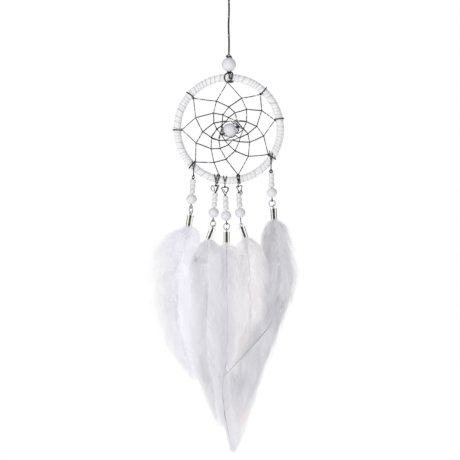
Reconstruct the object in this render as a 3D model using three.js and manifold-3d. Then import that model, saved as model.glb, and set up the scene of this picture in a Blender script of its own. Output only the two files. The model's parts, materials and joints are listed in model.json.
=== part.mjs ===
// A dream catcher: a lace-wrapped hoop that holds a knotted web, five beaded pendants below it and
// a plume on each, all hung from a corded loop. Millimetres, +Z up. The web lies in the XZ plane
// with its front towards -Y, and the origin is the top of the hanging loop.
import * as THREE from "three";
import { mergeVertices } from "three/addons/utils/BufferGeometryUtils.js";
import Module from "manifold-3d";

const wasm = await Module();
wasm.setup();

// ---- sizes ----

const clearance = 0.3; // room between pieces that touch on the real thing

const loopHeight = 21; // hanging loop, above its knot
const loopWidth = 9;
const loopKnotRadius = 1.5;
const loopSink = 1; // of the loop's two ends into the knot
const hangingCordRadius = 0.55;
const hangingCordLength = 42.5; // from the knot down to the hoop's hitch
const hangingCordWave = 0.35; // how far it strays from straight, sideways
const hangingCordDepthWave = 0.1; // and front to back
const topBeadRadius = 3.95;

const ringRadius = 29; // centre line of the hoop's wire
const ringWireRadius = 1.2;
const laceThickness = 0.5;
const laceSlit = 0.6; // where the wrapping starts and ends
const laceSlitAngle = 52;

const hitchCordRadius = 0.35;
const hitchSpacing = 0.9; // between the hitch's two turns
const hitchSide = 1; // middle of the hitch, to the right of the cord
const bightRadius = 0.45; // of the thicker strand that closes the hitch below the hoop

const webThreadRadius = 0.3;
const webKnotRadius = 0.5;
const anchorCount = 9; // loops that tie the web to the hoop
const drawnRadius = 26.4; // inner radius that the web and the pendants' places are drawn for
const centerBeadRadius = 4;
const centerBeadTilt = 27.6; // of its bore, above the horizontal
const centerBeadPlace = [0.5, -0.8];
const stopperKnotRadius = 0.8; // knots at the two ends of the centre bead's bore
const strayEnds = [44, 39, 40]; // web knots that the bead's own thread is tied to

const seedRadius = 1.55;
const seedHeight = 2.4;
const seedShoulder = 0.6; // rounding of a seed bead's rim
const seedsPerPendant = 3;
const beadRadius = 2.9;

const pendantCordRadius = 0.3;
const pendantKnotRadius = 0.6;
const pendantHitchRise = 0.8; // extra room above the hoop, for the web's knots
const cordLoopRadius = 0.25; // thread of the small loop below each bead
const jumpRingRadius = 1.8; // centre line
const jumpRingWire = 0.3;

const capWidth = 3.4;
const capDepth = 2.6;
const capLength = 6.6;
const capWall = 0.4;
const capCorner = 0.9;
const capSeam = 0.3; // where the folded flaps meet in front
const capEyeWire = 0.25;
const capNeckWidth = 1.2; // strip that carries the eye
const capNeckHeight = 0.5;
const capNeckLap = 0.2; // how far it reaches into the folded part and into the eye

const quillRadius = 0.5;
const quillInCap = 4; // how far each quill reaches up into its cap
const plumeDepth = 5.6; // front to back
const plumeFlatness = 0.45; // depth of a narrow part of the plume, as a share of its width
const layerStep = 7; // from one layer of plumes to the next
const layerDrop = 12; // below a cap, where its plume has reached its layer

// ---- what follows from them ----

const wrapRadius = ringWireRadius + clearance + laceThickness;
const webLoopRadius = wrapRadius + clearance + webThreadRadius;
const anchorRadius = ringRadius - webLoopRadius;
const overWeb = webLoopRadius + webThreadRadius + clearance; // from the wire, clear of web and lace
const hitchLoopRadius = wrapRadius + clearance + hitchCordRadius;
const cordTop = -loopHeight - 2 * loopKnotRadius - clearance;
const cordBottom = cordTop - hangingCordLength;
const hoopTop = cordBottom - clearance - hitchLoopRadius - hitchCordRadius;
const hoopCenter = hoopTop - ringRadius;
const capEyeRadius = jumpRingWire + clearance + capEyeWire;
const capTop = -capEyeRadius - capNeckHeight + capNeckLap;
const webScale = anchorRadius / drawnRadius;

// Where the thread of the web is knotted, [x, z] from the hoop's centre. It runs round in a
// spiral: nine anchors on the hoop, then each later knot halfway along an earlier strand.
const webRoute = [
  [-5.1, -23.7], [-18.7, -18.4], [-26.2, -0.4], [-19.2, 16.7], [-0.7, 25.6],
  [17.3, 19.0], [25.9, 5.0], [22.4, -14.4], [4.9, -24.2],
  [-8.4, -18.8], [-18.5, -7.9], [-18.7, 6.4], [-7.0, 15.7], [7.2, 17.4],
  [18.5, 10.4], [19.6, -3.9], [11.0, -15.3],
  [-1.6, -17.0], [-10.0, -11.1], [-14.7, -1.5], [-8.6, 9.0], [0, 12.5],
  [10.0, 11.1], [15.7, 1.5], [11.7, -7.4], [3.5, -12.3],
  [-4.9, -10.9], [-9.8, -4.8], [-8.4, 3.4], [-3.3, 8.0], [3.5, 9.2],
  [10.0, 4.1], [10.7, -2.7], [5.8, -7.1], [-0.2, -8.8],
  [-5.6, -6.4], [-6.8, 0.1], [-3.7, 4.3], [-0.2, 6.4], [4.7, 4.5],
  [8.2, 0.1], [6.3, -4.8], [2.1, -6.2], [-2.1, -6.4],
  [-4.7, -2.5], [-3.9, 2.0], [-1.4, 4.4],
];

// The five pendants, left to right. across: where the cord crosses the drawn hoop, from its middle;
// drop: from the hoop's wire to the first seed bead; lean: of the strand, in degrees; ring: whether
// a jump ring holds the cap; yaw: of that ring, from facing front; slide: of the cap round it;
// capLean: of the cap; layer: of the plume; tail: bare cord below the bead; finish: of the plume;
// plume: stations below the cap, [x, z, half width].
const pendants = [
  {
    across: -19.9, drop: 7.5, lean: -4.7, ring: true, yaw: 60, slide: 0, capLean: -10, layer: 0, tail: 0,
    finish: "plume",
    plume: [
      [-0.7, -2.4, 3.5], [-4.7, -5.9, 8.5], [-7.2, -14.9, 13], [-7.7, -29.9, 14.3],
      [-6.7, -44.9, 13.5], [-4.7, -59.9, 10], [-2.2, -68.9, 6], [1.3, -75.4, 0.8],
    ],
  },
  {
    across: -7.3, drop: 8.2, lean: -4.8, ring: true, yaw: 40, slide: 12, capLean: -22, layer: -1, tail: 0,
    finish: "plume",
    plume: [
      [-0.5, -2.9, 3], [-0.7, -7.9, 7], [-1.2, -26.9, 9.5], [-1.2, -46.9, 9.2],
      [-1.2, -66.9, 8], [2.3, -81.9, 5.5], [5.8, -93.9, 0.8],
    ],
  },
  {
    across: -2.2, drop: 9.0, lean: 2.7, ring: true, yaw: 20, slide: 0, capLean: 0, layer: 1, tail: 0,
    finish: "plume",
    plume: [
      [-0.1, -3.2, 2.5], [0.4, -12.7, 8], [0.4, -36.7, 10], [0.9, -61.7, 9.5],
      [1.9, -86.7, 8.5], [2.2, -101.7, 6], [2.4, -111.7, 3], [2.6, -117.7, 0.6],
    ],
  },
  {
    across: 5.25, drop: 7.8, lean: 4.3, ring: false, yaw: 0, slide: 0, capLean: 19, layer: -1, tail: 1.6,
    finish: "plume",
    plume: [
      [0.9, -2.8, 3], [1.9, -8.3, 7], [2.4, -23.3, 9.5], [2.4, -43.3, 10],
      [1.4, -63.3, 9], [0.2, -82.3, 6.2], [-1.1, -94.3, 4], [-2.6, -103.3, 0.8],
    ],
  },
  {
    across: 23.8, drop: 8.3, lean: 2, ring: true, yaw: 15, slide: 25, capLean: 3, layer: 0, tail: 0,
    finish: "greyPlume",
    plume: [
      [0.8, -2.7, 3], [2.3, -8.7, 6], [2.8, -18.7, 9], [3.3, -30.7, 10.4], [1.3, -40.7, 10.2],
      [-3.2, -52.7, 8.5], [-9.7, -66.7, 8], [-16.2, -80.7, 7.5], [-20.2, -94.7, 6.5],
      [-22.7, -106.7, 4], [-24.7, -115.7, 0.8],
    ],
  },
];

// ---- materials ----

const finishes = {
  blackCord: { color: 0x2b2a2e, roughness: 0.7, metalness: 0.1 },
  webThread: { color: 0x55545a, roughness: 0.5, metalness: 0.4 },
  bead: { color: 0xe9e8f0, roughness: 0.45, metalness: 0 },
  seed: { color: 0xf2f2f2, roughness: 0.3, metalness: 0 },
  steel: { color: 0xb9bcc0, roughness: 0.35, metalness: 1 },
  lace: { color: 0xf3f2f0, roughness: 0.9, metalness: 0 },
  silver: { color: 0xd8d8d8, roughness: 0.18, metalness: 1 },
  plume: { color: 0xf1f0f4, roughness: 0.95, metalness: 0 },
  greyPlume: { color: 0xe2e1e6, roughness: 0.95, metalness: 0 },
};

// ---- helpers ----

const degrees = THREE.MathUtils.degToRad;

function place(parent, name, geometry, finish) {
  const mesh = new THREE.Mesh(geometry, new THREE.MeshStandardMaterial(finishes[finish]));
  mesh.name = name;
  parent.add(mesh);
  return mesh;
}

function solidOf(geometry) {
  const bare = geometry.clone();
  bare.deleteAttribute("normal");
  bare.deleteAttribute("uv");
  const merged = mergeVertices(bare, 1e-4);
  return new wasm.Manifold(new wasm.Mesh({
    numProp: 3,
    vertProperties: Float32Array.from(merged.attributes.position.array),
    triVerts: Uint32Array.from(merged.index.array),
  }));
}

// one closed body from pieces that overlap
function joined(geometries) {
  const whole = geometries.map(solidOf).reduce((sum, piece) => sum.add(piece)).getMesh();
  const geometry = new THREE.BufferGeometry();
  geometry.setAttribute("position", new THREE.BufferAttribute(whole.vertProperties, 3));
  geometry.setIndex(new THREE.BufferAttribute(whole.triVerts, 1));
  geometry.computeVertexNormals();
  return geometry;
}

function polygon(radius, sides) {
  return Array.from({ length: sides }, (_, i) => {
    const angle = (2 * Math.PI * i) / sides;
    return new THREE.Vector2(radius * Math.cos(angle), radius * Math.sin(angle));
  });
}

function tube(path, radius, steps, sides = 6) {
  const section = new THREE.Shape(polygon(radius, sides));
  return new THREE.ExtrudeGeometry(section, { steps, bevelEnabled: false, extrudePath: path });
}

function rod(from, to, radius, sides = 6) {
  return tube(new THREE.LineCurve3(from, to), radius, 1, sides);
}

function ball(radius, center) {
  return new THREE.IcosahedronGeometry(radius).translate(center.x, center.y, center.z);
}

// a wire ring in the XZ plane
function link(radius, wire, sides = 5, steps = 14) {
  return new THREE.TorusGeometry(radius, wire, sides, steps).rotateX(Math.PI / 2);
}

// turned about Z from an outline of [radius, height] points that closes on itself
function turned(outline, segments) {
  const points = [...outline, outline[0]].map((point) => new THREE.Vector2(...point));
  return new THREE.LatheGeometry(points, segments).rotateX(Math.PI / 2);
}

function roundBead(radius, bore, segments) {
  const mouth = Math.acos(bore / radius);
  const arcs = segments / 2;
  const outline = Array.from({ length: arcs + 1 }, (_, i) => {
    const angle = -mouth + (2 * mouth * i) / arcs;
    return [radius * Math.cos(angle), radius * Math.sin(angle)];
  });
  return turned(outline, segments);
}

function seedBead() {
  const rim = [-90, -35, 35, 90].map((angle) => [
    seedRadius - seedShoulder + seedShoulder * Math.cos(degrees(angle)),
    (seedHeight / 2) * Math.sin(degrees(angle)),
  ]);
  const bore = pendantCordRadius + clearance;
  return turned([[bore, -seedHeight / 2], ...rim, [bore, seedHeight / 2]], 9);
}

// part of a circle in the XZ plane
class ArcPath extends THREE.Curve {
  constructor(radius, start, sweep) {
    super();
    Object.assign(this, { radius, start, sweep });
  }

  getPoint(t, target = new THREE.Vector3()) {
    const angle = this.start + t * this.sweep;
    return target.set(this.radius * Math.cos(angle), 0, this.radius * Math.sin(angle));
  }
}

// ---- hanging cord ----

function hangingLoop() {
  const knot = new THREE.Vector3(0, 0, -loopHeight - loopKnotRadius);
  const top = -hangingCordRadius;
  const side = loopWidth / 2 - hangingCordRadius;
  const left = [
    [0.25, 1], [0.55, 0.62], [1, 0.22], [0.7, 0.05],
  ].map(([out, down]) => [-side * out, THREE.MathUtils.lerp(top, knot.z + loopSink, down)]);
  const right = left.map(([x, z]) => [-x, z]).reverse();
  const route = [...left, [0, top], ...right].map(([x, z]) => new THREE.Vector3(x, 0, z));
  return joined([
    tube(new THREE.CatmullRomCurve3(route), hangingCordRadius, 22, 8),
    ball(loopKnotRadius, knot),
  ]);
}

function hangingCord() {
  const waves = [[0, 0], [0.3, 1], [-0.4, 0.9], [0.3, 0.3], [0, 0], [0, 0]];
  const route = waves.map(([side, back], i) => new THREE.Vector3(
    hangingCordWave * side,
    hangingCordDepthWave * back,
    THREE.MathUtils.lerp(cordTop, cordBottom, i / (waves.length - 1)),
  ));
  return tube(new THREE.CatmullRomCurve3(route), hangingCordRadius, 18, 8);
}

// ---- hoop and web ----

function laceWrap() {
  const half = laceSlit / 2 / ringRadius;
  const path = new ArcPath(ringRadius, degrees(laceSlitAngle) + half, 2 * Math.PI - 2 * half);
  const section = new THREE.Shape(polygon(wrapRadius, 8));
  section.holes.push(new THREE.Path(polygon(wrapRadius - laceThickness, 6)));
  return new THREE.ExtrudeGeometry(section, { steps: 46, bevelEnabled: false, extrudePath: path });
}

// a turn of cord round the hoop, in the plane that holds Y and the line out from the middle
function turnRound(angle, radius, cord, steps) {
  return new THREE.TorusGeometry(radius, cord, 4, steps)
    .rotateX(Math.PI / 2)
    .rotateZ(Math.PI / 2)
    .rotateY(Math.PI / 2 - angle)
    .translate(ringRadius * Math.cos(angle), 0, ringRadius * Math.sin(angle));
}

function hoopHitch() {
  const [left, right] = [-1, 1].map((side) => hitchSide + (side * hitchSpacing) / 2);
  const turns = [left, right].map((x) => new THREE.TorusGeometry(hitchLoopRadius, hitchCordRadius, 5, 14)
    .rotateY(Math.PI / 2)
    .translate(x, 0, 0));
  const bight = rod(
    new THREE.Vector3(hitchSide - hitchSpacing, 0, -hitchLoopRadius),
    new THREE.Vector3(hitchSide + hitchSpacing, 0, -hitchLoopRadius),
    bightRadius,
    5,
  );
  const tie = rod(
    new THREE.Vector3(left, 0, hitchLoopRadius),
    new THREE.Vector3(right, 0, hitchLoopRadius),
    hitchCordRadius,
    5,
  );
  const knotHeight = wrapRadius + hitchCordRadius;
  const knot = ball(2 * hitchCordRadius, new THREE.Vector3(left, -knotHeight, knotHeight));
  return joined([...turns, bight, tie, knot]);
}

function webThread() {
  const knots = webRoute.map(([x, z], i) => {
    const drawn = new THREE.Vector3(x, 0, z);
    return i < anchorCount ? drawn.setLength(anchorRadius) : drawn.multiplyScalar(webScale);
  });
  const pairs = [];
  knots.forEach((_, i) => {
    if (i >= anchorCount) {
      pairs.push([i - anchorCount, i], [i, i - anchorCount + 1]);
    }
    if (i >= knots.length - anchorCount && i < knots.length - 1) {
      pairs.push([i, i + 1]);
    }
  });
  const bead = centerBead();
  const end = centerBeadRadius + clearance + stopperKnotRadius;
  const stoppers = [-end, end].map((along) => bead.middle.clone().addScaledVector(bead.axis, along));
  const ties = strayEnds.map((knot, i) => [stoppers[Math.min(i, 1)], knots[knot]]);
  return joined([
    ...knots.map((knot) => new THREE.OctahedronGeometry(webKnotRadius).translate(...knot)),
    ...pairs.map(([a, b]) => rod(knots[a], knots[b], webThreadRadius, 4)),
    ...knots.slice(0, anchorCount).map((knot) =>
      turnRound(Math.atan2(knot.z, knot.x), webLoopRadius, webThreadRadius, 10)),
    ...stoppers.map((stopper) => ball(stopperKnotRadius, stopper)),
    ...ties.map(([from, to]) => rod(from, to, webThreadRadius, 4)),
    rod(stoppers[0], stoppers[1], webThreadRadius, 5),
  ]);
}

function centerBead() {
  const tilt = degrees(centerBeadTilt);
  const [x, z] = centerBeadPlace;
  return {
    middle: new THREE.Vector3(x * webScale, 0, z * webScale),
    axis: new THREE.Vector3(Math.cos(tilt), 0, Math.sin(tilt)),
  };
}

// ---- pendants ----

// the cord's turn over the hoop, seen along X: an oval round the wire that closes in a knot below
function pendantHitch(steepness, knotDrop) {
  const reach = overWeb + pendantCordRadius;
  const over = [-40, 0, 45, 90, 135, 180, 220].map((angle) => {
    const up = Math.sin(degrees(angle));
    const rise = pendantHitchRise * Math.max(up, 0);
    return new THREE.Vector3(0, -reach * Math.cos(degrees(angle)), (reach * up + rise) / steepness);
  });
  const knot = new THREE.Vector3(0, 0, -knotDrop);
  return joined([
    tube(new THREE.CatmullRomCurve3([knot, ...over, knot]), pendantCordRadius, 16, 5),
    ball(pendantKnotRadius, knot),
  ]);
}

// the straight cord below the knot, from its pivot, and the small loop that the ring hangs in
function pendantCord(start, loopAt, loopRadius, yaw) {
  return joined([
    rod(new THREE.Vector3(0, 0, -start), new THREE.Vector3(0, 0, -loopAt + loopRadius), pendantCordRadius),
    link(loopRadius, cordLoopRadius).rotateZ(degrees(yaw + 90)).translate(0, 0, -loopAt),
  ]);
}

// outline of the folded crimp from above: a box whose front flaps stop at the seam
function crimpOutline() {
  const corners = [[1, -1, -90], [1, 1, 0], [-1, 1, 90], [-1, -1, 180]];
  const wallLine = (inset) => corners.flatMap(([sx, sy, from]) => [0, 90].map((turn) => {
    const angle = degrees(from + turn);
    const corner = capCorner - inset;
    return new THREE.Vector2(
      sx * (capWidth / 2 - capCorner) + corner * Math.cos(angle),
      sy * (capDepth / 2 - capCorner) + corner * Math.sin(angle),
    );
  }));
  const front = -capDepth / 2;
  return [
    new THREE.Vector2(capSeam / 2, front), ...wallLine(0), new THREE.Vector2(-capSeam / 2, front),
    new THREE.Vector2(-capSeam / 2, front + capWall), ...wallLine(capWall).reverse(),
    new THREE.Vector2(capSeam / 2, front + capWall),
  ];
}

function endCap(eyeYaw) {
  const neckDepth = capDepth / 2;
  const shell = new THREE.ExtrudeGeometry(new THREE.Shape(crimpOutline()), {
    depth: capLength,
    bevelEnabled: false,
  }).translate(0, 0, capTop - capLength);
  const neck = new THREE.BoxGeometry(capNeckWidth, neckDepth, capNeckHeight)
    .translate(0, neckDepth / 2 - capNeckLap, capTop + capNeckHeight / 2 - capNeckLap);
  return joined([shell, neck, link(capEyeRadius, capEyeWire).rotateZ(degrees(eyeYaw))]);
}

// A plume is a drum whose rings are moved onto a row of flat ovals. Its first two stations are
// the quill inside the cap; the rest widen below it and step back or forward into a layer.
function plume(pendant, inward) {
  const quill = [quillInCap, 0].map((up) => [inward.x * up, inward.z * up, quillRadius]);
  const stations = [...quill, ...pendant.plume];
  const middles = new THREE.CatmullRomCurve3(stations.map(([x, z]) => {
    const sunk = THREE.MathUtils.smoothstep(-z, 0, layerDrop);
    return new THREE.Vector3(x, pendant.layer * layerStep * sunk, z);
  }));
  const halves = new THREE.CatmullRomCurve3(stations.map(([, , width], i) => {
    const depth = i < quill.length ? quillRadius : Math.min(plumeDepth / 2, plumeFlatness * width);
    return new THREE.Vector3(width, depth, 0);
  }));
  const geometry = new THREE.CylinderGeometry(1, 1, 1, 8, Math.round(1.5 * stations.length));
  const position = geometry.attributes.position;
  for (let i = 0; i < position.count; i += 1) {
    const along = THREE.MathUtils.clamp(0.5 - position.getY(i), 0, 1);
    const middle = middles.getPoint(along);
    const half = halves.getPoint(along);
    position.setXYZ(
      i,
      middle.x + position.getX(i) * half.x,
      middle.y - position.getZ(i) * half.y,
      middle.z,
    );
  }
  return geometry;
}

function addPendant(hoop, pendant, number) {
  const name = (piece) => `pendant_${number}_${piece}`;
  const across = pendant.across * webScale;
  const depthOnHoop = Math.sqrt(ringRadius ** 2 - across ** 2);
  const steepness = depthOnHoop / ringRadius;
  const knotDrop = (overWeb + pendantKnotRadius) / steepness;
  const onHoop = new THREE.Group();
  onHoop.position.set(across, 0, -depthOnHoop);
  hoop.add(onHoop);
  place(onHoop, name("hitch"), pendantHitch(steepness, knotDrop), "blackCord");

  // distances below are along the strand, from the knot that it swings on
  const strand = new THREE.Group();
  strand.position.z = -knotDrop;
  strand.rotation.y = -degrees(pendant.lean);
  onHoop.add(strand);
  const threaded = pendant.ring ? jumpRingWire : capEyeWire;
  const loopRadius = threaded + clearance + cordLoopRadius;
  const firstSeed = pendant.drop - knotDrop + seedHeight / 2;
  const seedStep = seedHeight + clearance;
  for (let i = 0; i < seedsPerPendant; i += 1) {
    place(strand, name(`seed_${i + 1}`), seedBead(), "seed").position.z = -firstSeed - i * seedStep;
  }
  const beadAt = firstSeed + (seedsPerPendant - 0.5) * seedStep + clearance / 2 + beadRadius;
  const bore = pendantCordRadius + clearance;
  place(strand, name("bead"), roundBead(beadRadius, bore, 12), "bead").position.z = -beadAt;
  const loopAt = beadAt + beadRadius + pendant.tail + clearance + cordLoopRadius + loopRadius;
  place(
    strand,
    name("cord"),
    pendantCord(pendantKnotRadius + clearance, loopAt, loopRadius, pendant.yaw),
    "blackCord",
  );

  // the ring and the cap hang straight below the strand's loop
  const hung = new THREE.Group();
  hung.position.set(0, 0, -loopAt).applyEuler(strand.rotation);
  hung.position.z -= knotDrop;
  onHoop.add(hung);
  const capPlace = new THREE.Vector3(0, 0, -capEyeRadius);
  if (pendant.ring) {
    const ring = place(hung, name("jump_ring"), link(jumpRingRadius, jumpRingWire), "silver");
    ring.position.z = -jumpRingRadius;
    ring.rotation.z = degrees(pendant.yaw);
    const slide = degrees(pendant.slide);
    capPlace.set(jumpRingRadius * Math.sin(slide), 0, -jumpRingRadius * (1 + Math.cos(slide)));
    capPlace.applyEuler(ring.rotation);
  }
  const capLean = -degrees(pendant.capLean);
  const cap = place(hung, name("end_cap"), endCap(pendant.ring ? pendant.yaw + 90 : 0), "silver");
  cap.position.copy(capPlace);
  cap.rotation.y = capLean;
  const inward = new THREE.Vector3(0, 0, 1).applyEuler(cap.rotation);
  const feather = place(hung, name("feather"), plume(pendant, inward), pendant.finish);
  feather.position.copy(capPlace).addScaledVector(inward, capTop - capLength);
}

// ---- assembly ----

const dreamCatcher = new THREE.Group();
place(dreamCatcher, "hanging_loop", hangingLoop(), "blackCord");
place(dreamCatcher, "hanging_cord", hangingCord(), "blackCord");
const topBead = roundBead(topBeadRadius, hangingCordRadius + clearance, 14);
place(dreamCatcher, "top_bead", topBead, "bead").position.z = cordBottom + topBeadRadius;
place(dreamCatcher, "hoop_hitch", hoopHitch(), "blackCord").position.z = hoopTop;

const hoop = new THREE.Group();
hoop.position.z = hoopCenter;
dreamCatcher.add(hoop);
place(hoop, "hoop_ring", link(ringRadius, ringWireRadius, 6, 46), "steel");
place(hoop, "hoop_wrap", laceWrap(), "lace");
place(hoop, "web_thread", webThread(), "webThread");
const middleBead = roundBead(centerBeadRadius, webThreadRadius + clearance, 14);
const centered = place(hoop, "center_bead", middleBead, "bead");
centered.position.copy(centerBead().middle);
centered.rotation.y = Math.PI / 2 - degrees(centerBeadTilt);
pendants.forEach((pendant, i) => addPendant(hoop, pendant, i + 1));

export default dreamCatcher;
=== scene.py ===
import bpy
import json
import math
import numpy as np
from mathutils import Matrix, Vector


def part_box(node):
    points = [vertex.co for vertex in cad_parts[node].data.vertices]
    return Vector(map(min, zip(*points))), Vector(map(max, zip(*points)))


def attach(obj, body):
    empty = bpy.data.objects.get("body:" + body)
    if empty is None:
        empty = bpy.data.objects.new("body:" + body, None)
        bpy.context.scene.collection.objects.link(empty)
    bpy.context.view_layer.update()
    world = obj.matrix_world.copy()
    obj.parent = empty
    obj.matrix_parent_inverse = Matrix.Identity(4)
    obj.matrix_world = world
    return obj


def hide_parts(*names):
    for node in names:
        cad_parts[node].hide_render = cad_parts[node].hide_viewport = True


# A dream catcher: a lace-wrapped hoop with a knotted web, beaded pendants and white plumes.
# Metres, +Z up. The web lies in the XZ plane and its front looks towards -Y.

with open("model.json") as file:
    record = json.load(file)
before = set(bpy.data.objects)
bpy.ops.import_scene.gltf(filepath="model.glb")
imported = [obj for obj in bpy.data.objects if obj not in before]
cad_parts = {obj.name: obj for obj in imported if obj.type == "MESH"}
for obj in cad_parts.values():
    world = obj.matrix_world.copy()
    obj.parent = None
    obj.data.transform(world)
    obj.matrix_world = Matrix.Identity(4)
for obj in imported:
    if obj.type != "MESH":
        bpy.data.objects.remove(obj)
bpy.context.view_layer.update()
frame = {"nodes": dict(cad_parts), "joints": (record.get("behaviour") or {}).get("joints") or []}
mm = 0.001
fullTurn = 2 * math.pi
deep = np.array([0, 1.0, 0])
rng = np.random.default_rng(20)


# ---- shader nodes ----

class Nodes:
    def __init__(self, tree):
        self.tree = tree

    def node(self, kind, **settings):
        made = self.tree.nodes.new(kind)
        for key, value in settings.items():
            setattr(made, key, value)
        return made

    # numbers and colours are set on the socket, and anything else is joined to it
    def give(self, socket, value):
        if isinstance(value, tuple):
            socket.default_value = (*value, 1)
        elif isinstance(value, (int, float)):
            socket.default_value = value
        else:
            self.tree.links.new(value, socket)

    def math(self, operation, *values):
        made = self.node("ShaderNodeMath", operation=operation)
        for socket, value in zip(made.inputs, values):
            self.give(socket, value)
        return made.outputs[0]

    def mix(self, factor, a, b, blend="MIX"):
        made = self.node("ShaderNodeMix", data_type="RGBA", blend_type=blend)
        for name, value in (("Factor", factor), ("A", a), ("B", b)):
            self.give(made.inputs[name], value)
        return made.outputs["Result"]

    # each stop is a place and a colour, which is one number, or three, or three and an alpha
    def ramp(self, value, *stops):
        made = self.node("ShaderNodeValToRGB")
        elements = made.color_ramp.elements
        for i, (place, colour) in enumerate(stops):
            stop = elements[i] if i < 2 else elements.new(place)
            stop.position = place
            colour = colour if isinstance(colour, tuple) else (colour,) * 3
            stop.color = (*colour, 1)[:4]
        self.give(made.inputs["Fac"], value)
        return made.outputs["Color"]

    # from start..1 to low..high
    def spread(self, value, low=0, high=1, start=0):
        made = self.node("ShaderNodeMapRange")
        for name, number in (("From Min", start), ("To Min", low), ("To Max", high)):
            made.inputs[name].default_value = number
        self.give(made.inputs["Value"], value)
        return made.outputs[0]


class Finish(Nodes):
    def __init__(self, name, **sockets):
        self.material = bpy.data.materials.new(name)
        self.material.use_nodes = True
        super().__init__(self.material.node_tree)
        self.shader = self.tree.nodes["Principled BSDF"]
        self.place = self.node("ShaderNodeTexCoord")
        self.set(**sockets)

    def set(self, **sockets):
        for name, value in sockets.items():
            self.give(self.shader.inputs[name.replace("_", " ")], value)

    def noise(self, scale, detail=3.0, roughness=0.5, stretch=(1, 1, 1)):
        mapping = self.node("ShaderNodeMapping")
        mapping.inputs["Scale"].default_value = stretch
        self.give(mapping.inputs["Vector"], self.place.outputs["Object"])
        noise = self.node("ShaderNodeTexNoise")
        for name, value in (
            ("Scale", scale), ("Detail", detail), ("Roughness", roughness), ("Vector", mapping.outputs[0]),
        ):
            self.give(noise.inputs[name], value)
        return noise.outputs["Fac"]

    def rough(self, value, low, high):
        self.set(Roughness=self.spread(value, low, high))

    def bump(self, height, strength, distance):
        bump = self.node("ShaderNodeBump")
        for name, value in (("Strength", strength), ("Distance", distance), ("Height", height)):
            self.give(bump.inputs[name], value)
        self.set(Normal=bump.outputs[0])

    def roundAndAlong(self):
        split = self.node("ShaderNodeSeparateXYZ")
        self.give(split.inputs[0], self.place.outputs["UV"])
        return split.outputs["X"], split.outputs["Y"]


# ---- camera, lights and room ----

view = {
    "aim": (0.00065, 0, -0.1560),  # what the middle of the picture looks at
    "width": 0.2593,               # how much of the object's plane it takes in
    "lens": 100,
    "sensor": 36,
    "nearest": 0.01,
    "diffuseBounces": 10,          # white down needs many
}

room = {
    "floorBelow": 1.5,   # it hangs at about the height of a window latch
    "floorRadius": 12,
    "floorSides": 96,
    "floorGlow": 0.56,   # enough for the floor to look as white as the walls
    # a white tent with dark gaps at its sides: brightness by how far round, 0 and 1 at the back,
    # 0.25 on the left, 0.5 at the front
    "tent": [(0.0, 0.88), (0.14, 0.84), (0.19, 0.10), (0.265, 0.10), (0.305, 1.06), (0.53, 1.0),
             (0.61, 0.46), (0.68, 0.36), (0.71, 0.08), (0.80, 0.08), (0.86, 0.84)],
    "tentBlue": 1.01,
    # in polished things, front to back
    "shine": [(0.0, 1.2), (0.13, 1.0), (0.21, 0.05), (1.0, 0.02)],
    "tentTop": 0.46,
    "tentBottom": 0.82,
    "keyPower": 1.9,
    "keySize": 0.5,
    "keyPlace": (-0.55, -0.75, 0.35),
}


def setCamera():
    camera = bpy.data.objects.new("camera", bpy.data.cameras.new("camera"))
    bpy.context.scene.collection.objects.link(camera)
    camera.data.lens = view["lens"]
    camera.data.sensor_width = view["sensor"]
    cameraBack = view["width"] * view["lens"] / view["sensor"]
    camera.location = Vector(view["aim"]) + Vector((0, -cameraBack, 0))
    camera.rotation_euler = (math.pi / 2, 0, 0)
    camera.data.clip_start = view["nearest"]
    bpy.context.scene.camera = camera
    bpy.context.scene.view_settings.view_transform = "Standard"
    bpy.context.scene.cycles.diffuse_bounces = view["diffuseBounces"]


def setKeyLight():
    light = bpy.data.lights.new("keyLight", "AREA")
    light.size = room["keySize"]
    light.energy = room["keyPower"]
    lamp = bpy.data.objects.new("keyLight", light)
    lamp.location = room["keyPlace"]
    towards = Vector(view["aim"]) - Vector(room["keyPlace"])
    lamp.rotation_euler = towards.to_track_quat("-Z", "Y").to_euler()
    bpy.context.scene.collection.objects.link(lamp)


def setWorld():
    world = bpy.data.worlds.new("whiteTent")
    bpy.context.scene.world = world
    world.use_nodes = True
    world.node_tree.nodes.clear()
    nodes = Nodes(world.node_tree)
    split = nodes.node("ShaderNodeSeparateXYZ")
    nodes.give(split.inputs[0], nodes.node("ShaderNodeTexCoord").outputs["Generated"])
    x, y, z = split.outputs
    # how far round: atan2(x, -y) / (2 pi) + 0.5
    angle = nodes.math("ARCTAN2", x, nodes.math("MULTIPLY", y, -1))
    around = nodes.math("ADD", nodes.math("DIVIDE", angle, fullTurn), 0.5)
    wall = nodes.ramp(around, *((place, (v, v, v * room["tentBlue"])) for place, v in room["tent"]))
    # towards the top and the bottom the wall gives way to roof and floor
    low, high = (room["tentBottom"],) * 3, (room["tentTop"],) * 3
    cover = nodes.ramp(nodes.spread(z, start=-1),
                       (0.1, (*low, 1)), (0.3, (*low, 0)), (0.75, (*high, 0)), (0.9, (*high, 1)))
    tent = nodes.mix(cover.node.outputs["Alpha"], wall, cover)
    # polished things see it bright in front, and nearly black beside and behind
    shine = nodes.ramp(nodes.spread(y, start=-1), *room["shine"])
    rays = nodes.node("ShaderNodeLightPath")
    lit, seen = nodes.node("ShaderNodeBackground"), nodes.node("ShaderNodeBackground")
    nodes.give(lit.inputs["Color"], nodes.mix(rays.outputs["Is Glossy Ray"], tent, shine))
    nodes.give(seen.inputs["Color"], (1, 1, 1))
    mix = nodes.node("ShaderNodeMixShader")
    for socket, value in zip(mix.inputs, (rays.outputs["Is Camera Ray"], lit.outputs[0], seen.outputs[0])):
        nodes.give(socket, value)
    nodes.give(nodes.node("ShaderNodeOutputWorld").inputs["Surface"], mix.outputs[0])


setCamera()
setKeyLight()
setWorld()


# ---- paths and surfaces ----

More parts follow.
